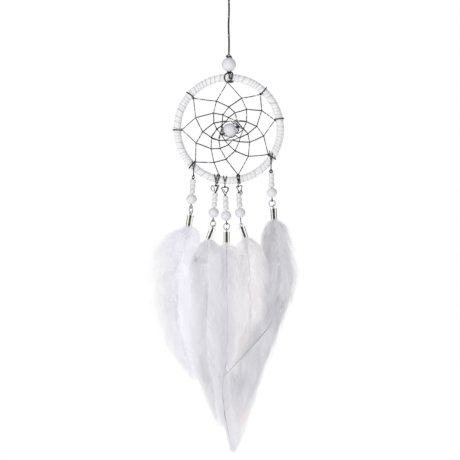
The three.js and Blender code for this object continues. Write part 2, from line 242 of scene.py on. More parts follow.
def unit(vectors):
    return vectors / np.maximum(np.linalg.norm(vectors, axis=-1, keepdims=True), 1e-12)


# a Catmull-Rom line through the points, count stations long
def smoothPath(points, count):
    points = np.asarray(points, float)
    padded = np.concatenate([2 * points[:1] - points[1:2], points, 2 * points[-1:] - points[-2:-1]])
    where = np.linspace(0, len(points) - 1, count)
    first = np.minimum(where.astype(int), len(points) - 2)
    t = (where - first)[:, None]
    a, b, c, d = (padded[first + i] for i in range(4))
    return 0.5 * (2 * b + (c - a) * t + (2 * a - 5 * b + 4 * c - d) * t**2
                  + (3 * b - a - 3 * c + d) * t**3)


# points of a circle at the angles t: centre + radius * (cos t * first + sin t * second)
def circle(centre, radius, first, second, t):
    return centre + radius * (np.cos(t)[:, None] * first + np.sin(t)[:, None] * second)


def evenAngles(count):
    return np.arange(count) * fullTurn / count


# distance along a path, from its first station
def lengthAlong(paths):
    steps = np.linalg.norm(np.diff(paths, axis=-2), axis=-1)
    return np.concatenate([np.zeros_like(steps[..., :1]), np.cumsum(steps, axis=-1)], axis=-1)


# A section carried along each path. At every station the side direction is square to the path and
# to the given direction, and up is square to both. A point of the section at angle a lies at
# radius * (cos a * side + sin a * up). With a pitch, the radius is that of two round plies side by
# side, ply * |cos a| + sqrt((1 - ply)^2 - ply^2 * sin^2 a), and the section turns once every pitch,
# so that they wind round each other.
def carried(paths, radius, square=(0, 1, 0), sides=10, closed=False, pitch=None, ply=0.28):
    paths = np.asarray(paths, float)
    if paths.ndim == 2:
        paths = paths[None]
    if closed:
        ahead = np.roll(paths, -1, axis=1) - np.roll(paths, 1, axis=1)
    else:
        ahead = np.gradient(paths, axis=1)
    ahead = unit(ahead)
    side = unit(np.cross(np.broadcast_to(np.asarray(square, float), paths.shape), ahead))
    up = np.cross(ahead, side)
    along = lengthAlong(paths)
    angle = evenAngles(sides)
    shape = np.ones(sides)
    turned = angle + np.zeros_like(along)[..., None]
    if pitch:
        shape = ply * np.abs(np.cos(angle)) + np.sqrt((1 - ply)**2 - (ply * np.sin(angle))**2)
        turned = angle + fullTurn * (along / pitch)[..., None]
    size = np.broadcast_to(np.asarray(radius, float), along.shape)[..., None] * shape
    points = (paths[:, :, None]
              + (size * np.cos(turned))[..., None] * side[:, :, None]
              + (size * np.sin(turned))[..., None] * up[:, :, None])
    return gridSurface(points, along, closeRows=closed)


# Faces of grids of points: (grids, rows, columns, 3), each row a closed ring. Each face corner keeps
# how far round (u) and how far along, in centimetres (v), it is. Open ends are closed by one face.
def gridSurface(points, along, closeRows):
    grids, rows, columns, _ = points.shape
    row, column = (g.ravel() for g in np.meshgrid(
        np.arange(rows if closeRows else rows - 1), np.arange(columns), indexing="ij"))
    after, below = (column + 1) % columns, (row + 1) % rows * columns
    corners = np.stack([row * columns + column, row * columns + after, below + after, below + column],
                       axis=-1)
    shift = (np.arange(grids) * rows * columns)[:, None, None]
    lap = along[:, -1:] + (along[:, -1:] - along[:, -2:-1])
    v = np.concatenate([along, lap], axis=1) * 100
    cu = np.stack([column, column + 1, column + 1, column], axis=-1) / columns
    cv = v[:, np.stack([row, row, row + 1, row + 1], axis=-1)]
    faces = [(corners[None] + shift).reshape(-1, 4)]
    uvs = [np.stack([np.broadcast_to(cu, cv.shape), cv], axis=-1).reshape(-1, 2)]
    if not closeRows:
        ring = np.arange(columns)
        faces.append(np.concatenate([ring[::-1] + shift[:, 0], ring + (rows - 1) * columns + shift[:, 0]]))
        endV = np.repeat(np.concatenate([v[:, 0], v[:, rows - 1]]), columns)
        uvs.append(np.stack([np.full(len(endV), 0.5), endV], axis=-1))
    return {"points": points.reshape(-1, 3), "faces": faces, "uvs": uvs}


# six times the volume inside a surface is the sum over its triangles of a . (b x c)
def volumeInside(surface):
    total = 0.0
    origin = surface["points"].mean(axis=0)
    for faces in surface["faces"]:
        p = surface["points"][faces] - origin
        for k in range(1, faces.shape[1] - 1):
            total += np.einsum("ij,ij->", p[:, 0], np.cross(p[:, k], p[:, k + 1]))
    return total / 6


def outward(surface):
    if volumeInside(surface) < 0:
        surface["faces"] = [faces[:, ::-1] for faces in surface["faces"]]
        surface["uvs"] = [
            uv.reshape(len(faces), -1, 2)[:, ::-1].reshape(-1, 2)
            for faces, uv in zip(surface["faces"], surface["uvs"])
        ]
    return surface


# one object from several surfaces, with its place in its mesh
def makePiece(name, surfaces, material, body, replaced=(), sharp=None):
    surfaces = [outward(s) for s in surfaces]
    starts = np.cumsum([0] + [len(s["points"]) for s in surfaces])
    points = np.concatenate([s["points"] for s in surfaces])
    faces = [f + start for s, start in zip(surfaces, starts) for f in s["faces"]]
    uvs = [u for s in surfaces for u in s["uvs"]]
    counts = np.concatenate([np.full(len(f), f.shape[1]) for f in faces])
    loopStarts = np.concatenate([[0], np.cumsum(counts)[:-1]])
    mesh = bpy.data.meshes.new(name)
    mesh.vertices.add(len(points))
    mesh.vertices.foreach_set("co", points.astype(np.float32).ravel())
    mesh.loops.add(int(counts.sum()))
    mesh.loops.foreach_set("vertex_index", np.concatenate([f.ravel() for f in faces]).astype(np.int32))
    mesh.polygons.add(len(counts))
    mesh.polygons.foreach_set("loop_start", loopStarts.astype(np.int32))
    mesh.update(calc_edges=True)
    mesh.polygons.foreach_set("use_smooth", np.ones(len(counts), bool))
    layer = mesh.uv_layers.new(name="along")
    layer.data.foreach_set("uv", np.concatenate(uvs).astype(np.float32).ravel())
    if sharp:
        mesh.set_sharp_from_angle(angle=math.radians(sharp))
    mesh.materials.append(material)
    piece = bpy.data.objects.new(name, mesh)
    bpy.context.scene.collection.objects.link(piece)
    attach(piece, body)
    if replaced:
        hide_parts(*replaced)
    return piece


# turned about the axis from an outline of (radius, height) that closes on itself, a little uneven
def turnedSolid(outline, centre, axis, sides, rim, seed):
    outline = np.asarray(outline, float)
    axis = unit(np.asarray(axis, float))
    side = unit(np.cross(axis, (0.31, 0.92, 0.24)))
    up = np.cross(axis, side)
    angle = evenAngles(sides)
    uneven = 1 + rim * np.sin(2 * angle + seed) + rim * 0.6 * np.sin(3 * angle + 2 * seed)
    radius = outline[:, None, 0] * uneven
    points = (np.asarray(centre)
              + (radius * np.cos(angle))[..., None] * side
              + (radius * np.sin(angle))[..., None] * up
              + outline[:, None, 1, None] * axis)
    return gridSurface(points[None], lengthAlong(outline[None]), closeRows=True)


# one closed knot of cord: a trefoil, x = sin t + 2 sin 2t, y = cos t - 2 cos 2t, z = -sin 3t, scaled
def knotted(centre, size, radius, sides=10, pitch=None, square=(0.1, 1, 0.2), stations=90):
    t = np.linspace(0, fullTurn, stations, endpoint=False)
    shape = np.stack([np.sin(t) + 2 * np.sin(2 * t), -np.sin(3 * t), np.cos(t) - 2 * np.cos(2 * t)],
                     axis=-1)
    route = np.asarray(centre) + shape * np.asarray(size) / 3
    return carried(route, radius, square, sides=sides, closed=True, pitch=pitch)


# small closed turns of thread, each a circle square to its axis
def smallTurns(centres, axes, turnRadius, threadRadius, stations=14):
    axes = unit(np.asarray(axes, float))
    side = unit(np.cross(axes, (0.2, 0.9, 0.4)))
    up = np.cross(axes, side)
    t = evenAngles(stations)
    turns = (np.asarray(centres)[:, None]
             + turnRadius * np.cos(t)[None, :, None] * side[:, None]
             + turnRadius * np.sin(t)[None, :, None] * up[:, None])
    return carried(turns, threadRadius, axes[:, None], sides=8, closed=True)


# a bead's outline: the ball from one mouth of its bore to the other, a small round edge, the bore
def beadOutline(radius, bore, height, edge, stations=26):
    mouth = math.acos((bore + edge) / radius)
    a = np.linspace(-mouth, mouth, stations)
    ball = np.stack([radius * np.cos(a), height * np.sin(a)], axis=-1)
    lip = np.linspace(math.pi / 2 - 0.2, math.pi, 5)
    lipTop = np.stack([bore + edge + edge * np.cos(lip), ball[-1, 1] - edge + edge * np.sin(lip)], axis=-1)
    return np.concatenate([ball, lipTop, (lipTop * (1, -1))[::-1]])


def middle(node):
    low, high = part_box(node)
    return np.array((low + high) / 2)


# the least and the most of a CAD node along a direction
def reach(node, axis):
    mesh = frame["nodes"][node].data
    flat = np.empty(len(mesh.vertices) * 3)
    mesh.vertices.foreach_get("co", flat)
    along = flat.reshape(-1, 3) @ np.asarray(axis)
    return along.min(), along.max()


def jointPlace(name):
    return np.array(next(j for j in frame["joints"] if j["name"] == name)["pos_m"])


# ---- finishes ----

# a two-ply cord: one ply is dark, the other is a silver thread that is covered here and there
def cordFinish(name, dark, bright, covered, fleckScale):
    finish = Finish(name, Specular_IOR_Level=0.4)
    around, along = finish.roundAndAlong()
    onSecond = finish.math("COMPARE", around, 0.5, 0.23)
    fleck = finish.noise(fleckScale, detail=1.0)
    silver = finish.math("MULTIPLY", onSecond, finish.math("GREATER_THAN", fleck, covered))
    slant = finish.math("ADD", around, finish.math("MULTIPLY", along, 9))
    fibre = finish.math("SINE", finish.math("MULTIPLY", slant, 75))
    shade = finish.noise(2600, detail=2.0)
    cloth = finish.ramp(shade, (0.3, tuple(0.6 * d for d in dark)), (0.75, tuple(1.7 * d for d in dark)))
    finish.set(Base_Color=finish.mix(silver, cloth, bright), Metallic=finish.math("MULTIPLY", silver, 0.85))
    finish.rough(silver, 0.72, 0.3)
    finish.bump(fibre, 0.35, 0.00006)
    return finish.material


# stone-like beads: a soft satin white with a little lilac, faint clouds and fine pits
def beadFinish(name, pale, deepShade, roughness, pits):
    finish = Finish(name, Coat_Weight=0.15, Coat_Roughness=0.35)
    clouds = finish.noise(420, detail=5.0, roughness=0.6)
    grain = finish.noise(3600, detail=3.0)
    cloudy = finish.ramp(clouds, (0.3, deepShade), (0.7, pale))
    finish.set(Base_Color=finish.mix(finish.ramp(grain, (0.35, 0.0), (0.75, 0.35)), cloudy, pale))
    finish.rough(clouds, roughness - 0.08, roughness + 0.1)
    finish.bump(grain, pits, 0.00005)
    return finish.material


# flat suede lace: the nap runs along the lace, and the edge of each turn is darker, a painted shade in the
# crease where one turn meets the next
def laceFinish():
    finish = Finish("suedeLace", Sheen_Weight=0.25, Sheen_Roughness=0.5)
    turn = finish.math("FRACT", finish.math("ADD", *finish.roundAndAlong()))
    # painted shade: the colour darkens where each turn steps up from the one before
    edge = finish.ramp(turn, (0.0, (0.32, 0.32, 0.33)), (0.05, (0.64, 0.64, 0.65)), (0.16, 1.0),
                       (0.93, 0.93))
    nap = finish.noise(5200, detail=4.0, roughness=0.7)
    blotch = finish.noise(260, detail=3.0)
    body = finish.ramp(blotch, (0.3, (0.84, 0.84, 0.855)), (0.7, (0.93, 0.93, 0.935)))
    finish.set(Base_Color=finish.mix(1.0, body, edge, blend="MULTIPLY"))
    finish.rough(nap, 0.8, 1.0)
    finish.bump(nap, 0.5, 0.00012)
    return finish.material


# metal: plate is nearly clean, with hair-fine scratches and a faint warm patch, wire is drawn steel
def metalFinish(name, marks, patch, colours, roughness, bump):
    finish = Finish(name, Metallic=1.0)
    mark = finish.noise(*marks[:3], stretch=marks[3])
    shade = finish.noise(patch, detail=2.0) if patch else mark
    finish.set(Base_Color=finish.ramp(shade, *colours))
    finish.rough(mark, *roughness)
    finish.bump(mark, *bump)
    return finish.material


# down and barbs: near white, each plume with its own shade. Light passes from barb to barb inside a
# plume, which the faint glow stands for.
def plumeFinish(name, root, tip, glow, blush=None):
    finish = Finish(name, Sheen_Weight=0.2, Sheen_Roughness=0.6, Specular_IOR_Level=0.2)
    streak = finish.noise(240, detail=3.0, stretch=(1, 1, 0.22))
    body = finish.ramp(streak, (0.32, root), (0.68, tip))
    if blush:
        patch = finish.noise(60, detail=1.0)
        body = finish.mix(finish.ramp(patch, (0.52, 0.0), (0.66, 0.55)), body, blush)
    finish.set(Base_Color=body, Emission_Color=body, Emission_Strength=glow)
    finish.rough(streak, 0.75, 0.95)
    return finish.material


# horn: pale inside the plume, and dark from a given number of centimetres on
def quillFinish(name, dark, pale, turnsDark=None):
    finish = Finish(name, Specular_IOR_Level=0.35)
    streak = finish.noise(700, detail=3.0, stretch=(1, 1, 0.1))
    body = finish.ramp(streak, (0.3, tuple(0.8 * c for c in pale)), (0.7, pale))
    if turnsDark:
        ramped = 0.05   # a ramp reads from 0 to 1, so centimetres are brought under 1
        along = finish.math("MULTIPLY", finish.roundAndAlong()[1], ramped)
        # darker from turnsDark centimetres along the shaft on
        darkBeyond = finish.ramp(along, (turnsDark * ramped - 0.04, 0.0), (turnsDark * ramped, 1.0))
        horn = finish.ramp(streak, (0.3, tuple(0.7 * c for c in dark)), (0.7, dark))
        body = finish.mix(darkBeyond, body, horn)
    finish.set(Base_Color=body)
    finish.rough(streak, 0.4, 0.6)
    finish.bump(streak, 0.15, 0.00003)
    return finish.material


def floorFinish():
    finish = Finish("paleFloor", Emission_Color=(1, 1, 1), Emission_Strength=room["floorGlow"])
    cloud = finish.noise(3, detail=4.0)
    finish.set(Base_Color=finish.ramp(cloud, (0.3, (0.94, 0.94, 0.945)), (0.7, (0.97, 0.97, 0.97))))
    finish.rough(cloud, 0.6, 0.8)
    return finish.material


finishes = {
    "hangingCord": cordFinish("hangingCord", (0.010, 0.010, 0.012), (0.50, 0.50, 0.52), 0.66, 900),
    "webThread": cordFinish("webThread", (0.022, 0.022, 0.028), (0.76, 0.76, 0.78), 0.53, 420),
    # a darker copy of the web thread: painted shade for the strands that run level, and the thread of the
    # knots, anchor loops and tangle
    "darkAndShadedThread": cordFinish("darkAndShadedThread", (0.022, 0.022, 0.028), (0.45, 0.45, 0.50), 0.61, 500),
    "knotCord": cordFinish("knotCord", (0.010, 0.010, 0.012), (0.55, 0.55, 0.57), 0.56, 700),
    "bead": beadFinish("stoneBead", (0.81, 0.80, 0.85), (0.73, 0.72, 0.78), 0.42, 0.25),
    "seed": beadFinish("glassSeed", (0.81, 0.81, 0.81), (0.74, 0.74, 0.73), 0.2, 0.08),
    "lace": laceFinish(),
    "silver": metalFinish("silverPlate", (900, 4.0, 0.7, (1, 1, 0.08)), 350,
                          ((0.35, (0.86, 0.83, 0.77)), (0.7, (0.93, 0.92, 0.90))),
                          (0.04, 0.16), (0.08, 0.00002)),
    "wire": metalFinish("drawnWire", (1500, 3.0, 0.5, (1, 0.2, 1)), None,
                        ((0.3, (0.45, 0.46, 0.48)), (0.7, (0.66, 0.67, 0.69))),
                        (0.28, 0.45), (0.2, 0.00004)),
    "quill": quillFinish("quillHorn", (0.8, 0.8, 0.8), (0.86, 0.86, 0.88)),
    "greyQuill": quillFinish("greyQuillHorn", (0.30, 0.30, 0.34), (0.78, 0.78, 0.81), turnsDark=6.6),
    "lowQuill": quillFinish("lowQuillHorn", (0.30, 0.30, 0.34), (0.8, 0.8, 0.82), turnsDark=8.0),
    # near black: painted shade of the seam between the crimp's flaps, laid on the filling inside
    "seamShadeFilling": quillFinish("crimpSeamShade", (0.02, 0.02, 0.02), (0.03, 0.028, 0.025)),
    "floor": floorFinish(),
}
print("finishes ready")


def makeFloor():
    rim = np.linspace(0, fullTurn, room["floorSides"], endpoint=False)
    points = circle(np.array([0, 0, -room["floorBelow"]]), room["floorRadius"],
                    np.array([1, 0, 0]), np.array([0, 1, 0]), rim)
    mesh = bpy.data.meshes.new("floor")
    mesh.from_pydata(points.tolist(), [], [list(range(room["floorSides"]))])
    mesh.materials.append(finishes["floor"])
    floor = bpy.data.objects.new("floor", mesh)
    bpy.context.scene.collection.objects.link(floor)


makeFloor()
print("camera, light and floor ready")


# ---- hanging cord ----

cordSizes = {
    "radius": 0.55 * mm,
    "ply": 0.2,             # how far the plies stand apart, as a share of the radius
    "wave": 0.35 * mm,
    "depthWave": 0.1 * mm,
    "twist": 2.6 * mm,      # one turn of the two plies
    "length": 42.5 * mm,
    "loopWidth": 9 * mm,
    "loopSink": 1 * mm,     # of the loop's ends into its knot
    "knotRadius": 1.5 * mm,
    "knotSize": (1.25 * mm, 1.2 * mm, 1.3 * mm),
    "knotThin": 0.92,       # cord in the knot, pulled thinner
    "knotTwist": 2.5 * mm,
    "waves": [(0, 0), (0.3, 1), (-0.4, 0.9), (0.3, 0.3), (0, 0), (0, 0)],
    "loopShape": [(0.25, 1), (0.55, 0.62), (1, 0.22), (0.7, 0.05)],
}


def makeHangingCord():
    radius = cordSizes["radius"]
    twisted = {"sides": 14, "pitch": cordSizes["twist"], "ply": cordSizes["ply"]}
    low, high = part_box("hanging_cord")
    top, bottom = high.z, low.z
    side, back = np.array(cordSizes["waves"]).T
    route = smoothPath(np.stack([
        cordSizes["wave"] * side, cordSizes["depthWave"] * back, np.linspace(top, bottom, len(side)),
    ], axis=-1), 170)
    cord = makePiece("hangingCordTwist", [carried(route, radius, **twisted)],
                     finishes["hangingCord"], "cord", ["hanging_cord"])
    loopLow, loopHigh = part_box("hanging_loop")
    knotZ = loopLow.z + cordSizes["knotRadius"]
    half = cordSizes["loopWidth"] / 2 - radius
    loopTop = loopHigh.z - radius
    shape = np.array(cordSizes["loopShape"])
    down = loopTop + (knotZ + cordSizes["loopSink"] - loopTop) * shape[:, 1]
    left = np.stack([-half * shape[:, 0], 0 * down, down], axis=-1)
    right = (left * (-1, 1, 1))[::-1]
    loopRoute = smoothPath(np.concatenate([left, [[0, 0, loopTop]], right]), 200)
    loop = makePiece("hangingLoopTwist", [
        carried(loopRoute, radius, **twisted),
        knotted((0, 0, knotZ), cordSizes["knotSize"], radius * cordSizes["knotThin"],
                sides=12, pitch=cordSizes["knotTwist"]),
    ], finishes["hangingCord"], "hanger", ["hanging_loop"])


makeHangingCord()
print("hanging cord ready")


# ---- beads ----

beadSizes = {
    "bore": 0.55 * mm,
    "topBore": 0.6325 * mm,
    "edge": 0.22 * mm,
    "topRadius": 3.95 * mm,
    "topHeight": 3.9895 * mm,
    "centerRadius": 4 * mm,
    "centerTilt": 27.6,     # of the centre bead's bore, above the horizontal
    "uneven": 0.006,
    "sides": 56,
}
tilt = math.radians(beadSizes["centerTilt"])
centerBore = np.array([math.cos(tilt), 0, math.sin(tilt)])


def makeBead(name, node, radius, bore, height, axis, seed):
    outline = beadOutline(radius, bore, height, beadSizes["edge"])
    bead = turnedSolid(outline, middle(node), axis, beadSizes["sides"], beadSizes["uneven"], seed)
    makePiece(name, [bead], finishes["bead"], node, [node])


makeBead("topBead", "top_bead", beadSizes["topRadius"], beadSizes["topBore"], beadSizes["topHeight"],
         (0, 0, 1), 1)
makeBead("centerBead", "center_bead", beadSizes["centerRadius"], beadSizes["bore"],
         beadSizes["centerRadius"],
         centerBore, 2)
print("top and centre beads ready")


# ---- hoop ----

hoopSizes = {
    "radius": 29 * mm,       # centre line of the wire
    "laceRadius": 1.94 * mm,
    "laceStep": 0.2 * mm,    # how far each turn of lace stands over the next
    "laceLip": 0.07,         # share of a turn over which the step rises
    "laceCrown": 0.05 * mm,
    "laceRipple": 0.03 * mm,
    "laceTurns": 74,
    "stationsPerTurn": 15,
    "sides": 30,
    "unevenness": [(5, 0.45, 1.0), (11, 0.30, 2.4), (17, 0.22, 0.3)],   # waves round, turns, start
}
hoopMiddle = middle("hoop_ring")


# The lace is a torus whose tube radius steps up at the leading edge of each turn and falls evenly to
# its other edge: laceRadius + laceStep * (1 - p) + laceCrown * sin(pi p), with p the share of a turn
# passed, which is (turns * hoop angle + tube angle) / 2 pi plus a slow wave, less its whole part. A
# fine ripple lies over it.
def makeLace():
    around = evenAngles(hoopSizes["laceTurns"] * hoopSizes["stationsPerTurn"])
    tube = evenAngles(hoopSizes["sides"])
    uneven = sum(size * np.sin(waves * around + start) for waves, size, start in hoopSizes["unevenness"])
    turns = hoopSizes["laceTurns"] * around / fullTurn + uneven
    share = (turns[:, None] + tube / fullTurn) % 1
    step = hoopSizes["laceStep"] * (np.clip(share / hoopSizes["laceLip"], 0, 1) * (1 - share))
    radius = hoopSizes["laceRadius"] + step + hoopSizes["laceCrown"] * np.sin(math.pi * share)
    radius = radius + hoopSizes["laceRipple"] * np.sin(7 * tube + 3 * turns[:, None])
    out = np.stack([np.cos(around), 0 * around, np.sin(around)], axis=-1)[:, None]
    points = (hoopMiddle + hoopSizes["radius"] * out
              + (radius * np.cos(tube))[..., None] * out + (radius * np.sin(tube))[..., None] * deep)
    surface = gridSurface(points[None], turns[None] / 100, closeRows=True)
    makePiece("laceWrap", [surface], finishes["lace"], "hoop", ["hoop_wrap"])


makeLace()
frame["nodes"]["hoop_ring"].data.materials.clear()
frame["nodes"]["hoop_ring"].data.materials.append(finishes["wire"])
print("hoop ready")


# ---- web ----

webSizes = {
    "radius": 0.31 * mm,
    "thinner": 0.95,             # the light thread, and the dark, against that radius
    "thicker": 1.1,
    "twist": 2.5 * mm,
    "sag": (-0.012, 0.02),       # of a strand, as a share of its length
    "bow": 0.3 * mm,             # of a strand forwards or back
    "fray": (0.9, 1.12),
    "level": 0.9,                # a strand that slopes less than this takes the dark thread as painted shade, but
    "shadeRepeat": 38,             # of every so many strands
    "unshadedFirst": 6,                # the first few are light
    "knotTurn": 0.36 * mm,       # radius of the small turns at each knot
    "knotLean": 0.55,
    "knotApart": 0.25,
    "knotThread": 0.85,
    "anchorRadius": 26.4 * mm,
    "anchors": 9,
    "anchorDrift": 0.9 * mm,
    "anchorThread": 1.2,
    "anchorTurn": 0.42 * mm,
    "topAnchor": 4,              # this one slants clear of the hitch
    "topSlant": 1.5 * mm,
    "stopperOut": 0.5 * mm,      # of the knots on each side of the centre bead
    "stopperSize": 0.55 * mm,
    "stopperTies": [[44], [39, 40]],
    "tangleRadius": 0.28 * mm,
    "tangleTwist": 2.2 * mm,
}

# where the thread is knotted, from the hoop's middle: nine anchors, then each later knot halfway
# along an earlier strand
webRoute = np.array([
    [-5.1, -23.7], [-18.7, -18.4], [-26.2, -0.4], [-19.2, 16.7], [-0.7, 25.6],
    [17.3, 19.0], [25.9, 5.0], [22.4, -14.4], [4.9, -24.2],
    [-8.4, -18.8], [-18.5, -7.9], [-18.7, 6.4], [-7.0, 15.7], [7.2, 17.4],
    [18.5, 10.4], [19.6, -3.9], [11.0, -15.3],
    [-1.6, -17.0], [-10.0, -11.1], [-14.7, -1.5], [-8.6, 9.0], [0, 12.5],
    [10.0, 11.1], [15.7, 1.5], [11.7, -7.4], [3.5, -12.3],
    [-4.9, -10.9], [-9.8, -4.8], [-8.4, 3.4], [-3.3, 8.0], [3.5, 9.2],
    [10.0, 4.1], [10.7, -2.7], [5.8, -7.1], [-0.2, -8.8],
    [-5.6, -6.4], [-6.8, 0.1], [-3.7, 4.3], [-0.2, 6.4], [4.7, 4.5],
    [8.2, 0.1], [6.3, -4.8], [2.1, -6.2], [-2.1, -6.4],
    [-4.7, -2.5], [-3.9, 2.0], [-1.4, 4.4],
]) * mm

# loose loops of dark thread round the centre bead, [x, y, z] in millimetres from the hoop's middle
tangle = [
    [(-4.2, -0.6, 4.3), (-1.7, -1.6, 3.9), (1.3, -2.2, 4.3), (2.3, -2.6, 3.1), (4.0, -2.6, 2.4),
     (5.1, -1.8, 1.5), (6.6, -1.2, 1.3), (8.2, -0.6, 0.2), (10.6, 0, -2.3)],
    [(2.3, -1.0, 4.4), (4.6, -1.4, 4.2), (6.4, -1.5, 4.6), (9.6, -1.0, 4.3), (10.5, -0.6, 3.8),
     (14.6, 0, 2.0)],
    [(5.2, -1.8, 3.4), (6.0, -2.2, 2.4), (5.1, -2.3, 1.5), (5.6, -2.2, -0.8), (4.4, -2.0, -2.5),
     (5.6, -1.4, -2.3), (8.2, -0.8, -0.2)],
    [(-1.8, -1.0, 3.8), (-4.4, -1.2, 1.5), (-7.0, -0.9, -0.7), (-9.8, -0.2, -4.8), (-5.7, -0.8, -6.4),
     (-1.9, -1.2, -6.4), (-0.1, -1.8, -5.2), (2.6, -2.2, -4.6), (3.8, -2.2, -3.7), (4.5, -1.8, -4.4),
     (6.3, -1.2, -4.8), (10.4, 0, -3.0)],
    [(-3.6, -1.4, 2.0), (-3.6, -2.2, -0.7), (-4.7, -1.6, -2.5), (-5.8, -0.6, -5.5)],
    [(-3.1, -2.0, -3.2), (-2.3, -2.4, -4.1), (-0.9, -2.2, -4.1)],
    [(2.6, -2.4, 3.6), (4.4, -3.0, 2.9), (5.8, -2.6, 1.2), (4.9, -2.4, 0.2), (5.2, -2.0, -1.4),
     (4.0, -2.2, -2.9)],
    [(-3.2, -2.4, 2.6), (-4.3, -2.0, 0.4), (-3.5, -2.4, -1.8), (-2.2, -2.6, -3.0)],
]


# a turn of cord round the hoop: a circle of the given radius in the plane of the depth and the line
# out from the middle. It drifts sideways as it goes, and slants: in front one way, behind the other
def turnRound(angle, radius, drift, slant):
    t = np.linspace(0, fullTurn, 40)
    out = np.array([math.cos(angle), 0, math.sin(angle)])
    sideways = np.array([-math.sin(angle), 0, math.cos(angle)])
    spine = hoopMiddle + hoopSizes["radius"] * out
    return (circle(spine, -radius, out, deep, t)
            + (drift * (t / math.pi - 1) / 2 + slant * np.sin(t))[:, None] * sideways)


# every strand between two knots, in the order it was wound, as a bowed and sagging line
def webStrands(knots):
    anchors = webSizes["anchors"]
    later = np.arange(anchors, len(knots))
    last = np.arange(len(knots) - anchors, len(knots) - 1)
    begin = np.concatenate([later - anchors, later, last])
    end = np.concatenate([later, later - anchors + 1, last + 1])
    a, b = knots[begin] + hoopMiddle, knots[end] + hoopMiddle
    t = np.linspace(0, 1, 40)
    sag = rng.uniform(*webSizes["sag"], len(a)) * np.linalg.norm(b - a, axis=-1)
    forward = rng.uniform(-1, 1, len(a)) * webSizes["bow"]
    bow = np.sin(math.pi * t)[None, :, None] * np.stack([0 * sag, forward, -sag], axis=-1)[:, None]
    return a, b, a[:, None] + (b - a)[:, None] * t[None, :, None] + bow


def makeWeb():
    radius, anchors = webSizes["radius"], webSizes["anchors"]
    twisted = {"sides": 8, "pitch": webSizes["twist"]}
    knots = np.stack([webRoute[:, 0], 0 * webRoute[:, 0], webRoute[:, 1]], axis=-1)
    knots[:anchors] = unit(knots[:anchors]) * webSizes["anchorRadius"]
    a, b, strands = webStrands(knots)
    fray = rng.uniform(*webSizes["fray"], len(a))[:, None]
    # painted shade: what runs level is mostly dark, for the light from above leaves level strands in shade
    level = np.abs((b - a)[:, 0]) > webSizes["level"] * np.abs((b - a)[:, 2])
    dark = level & (np.arange(len(a)) % webSizes["shadeRepeat"] > webSizes["unshadedFirst"])
    # the strands in painted shade are made with the dark thread
    pale, black = (
        [carried(strands[chosen], radius * size * fray[chosen], pitch=webSizes["twist"])]
        for chosen, size in ((~dark, webSizes["thinner"]), (dark, webSizes["thicker"]))
    )

    # the later thread's half hitch at each knot: two small turns that lean apart
    middles = knots[anchors:] + hoopMiddle
    inwards = unit(-knots[anchors:] + rng.normal(0, 2 * mm, (len(middles), 3)) * (1, 0.3, 1))
    across = np.cross(inwards, deep)
    for lean in (-webSizes["knotLean"], webSizes["knotLean"]):
        black.append(smallTurns(middles + lean * webSizes["knotApart"] * mm * across,
                                across + lean * inwards,
                                webSizes["knotTurn"], radius * webSizes["knotThread"]))

    # the anchor loops pass over the lace, and are tied where they leave it
    loopRadius = hoopSizes["laceRadius"] + hoopSizes["laceStep"] + radius
    for i, knot in enumerate(knots[:anchors]):
        angle = math.atan2(knot[2], knot[0])
        drift = webSizes["anchorDrift"] * (1 if i % 2 else -1)
        slant = webSizes["topSlant"] if i == webSizes["topAnchor"] else 0.0
        black.append(carried(turnRound(angle, loopRadius, drift, slant), radius * webSizes["anchorThread"],
                             (-math.sin(angle), 0, math.cos(angle)), pitch=webSizes["twist"]))
        axis = knot / (20 * mm)
        black.append(smallTurns([hoopMiddle + knot] * 2, [axis + (0, 0.4, 0), axis - (0, 0.5, 0)],
                                webSizes["anchorTurn"], radius))

    # the bead's own thread: a knot at each end of its bore, tied back to the innermost knots
    bead = middle("center_bead")
    reachOut = beadSizes["centerRadius"] + webSizes["stopperOut"]
    stoppers = np.array([bead - centerBore * reachOut, bead + centerBore * reachOut])
    pale.append(carried(np.linspace(*stoppers, 30), radius, **twisted))
    for stopper, ties in zip(stoppers, webSizes["stopperTies"]):
        pale.append(knotted(stopper, np.full(3, webSizes["stopperSize"]), radius * 0.9,
                            sides=8, square=(0.1, 1, 0.3), stations=50))
        for tie in ties:
            pale.append(carried(np.linspace(stopper, knots[tie] + hoopMiddle, 16), radius, **twisted))
    makePiece("webThread", pale, finishes["webThread"], "hoop", ["web_thread"])

    for route in tangle:
        line = smoothPath(np.array(route) * mm + hoopMiddle, 14 * len(route))
        black.append(carried(line, webSizes["tangleRadius"], (0.1, 1, 0.1), sides=8,
                             pitch=webSizes["tangleTwist"]))
    makePiece("darkAndShadedThread", black, finishes["darkAndShadedThread"], "hoop")


makeWeb()
print("web ready")


# ---- hitch on top of the hoop ----

# places are (across, forward, up) in millimetres: from under the hoop for the bight, from over it
# for the knot, and from the top of the bead for the knot and the cut end that rest there
hitchSizes = {
    "cordRadius": 0.48 * mm,
    "sink": 0.9,                         # of the cord into the lace
    "turns": [(0.45, -0.25), (1.7, 0.3)],   # across from the middle of the hoop, and lean
    "pliesPerTurn": 6,
    "bight": [(-0.25, 0, 0.2), (0.15, -0.8, 0.15), (1.4, -0.95, 0.1), (2.3, 0, 0.2)],
    "bightRadius": 0.62 * mm,
    "bightTwist": 2.2 * mm,
    "knot": (0.35, -0.5, 0.15),
    "knotSize": (1.25, 1.0, 0.75),
    "knotThin": 0.8,
    "twist": 2.3 * mm,
    "beadKnot": (-0.5, -0.35, 0.75),
    "beadKnotSize": (0.85, 0.8, 0.75),
    "beadKnotCord": 0.42 * mm,
    "end": [(-0.3, -0.3, 2.0), (0.5, -0.75, 1.2), (1.3, -0.95, 0.25), (1.7, -0.8, -0.15)],
    "endRadius": 0.6 * mm,
}


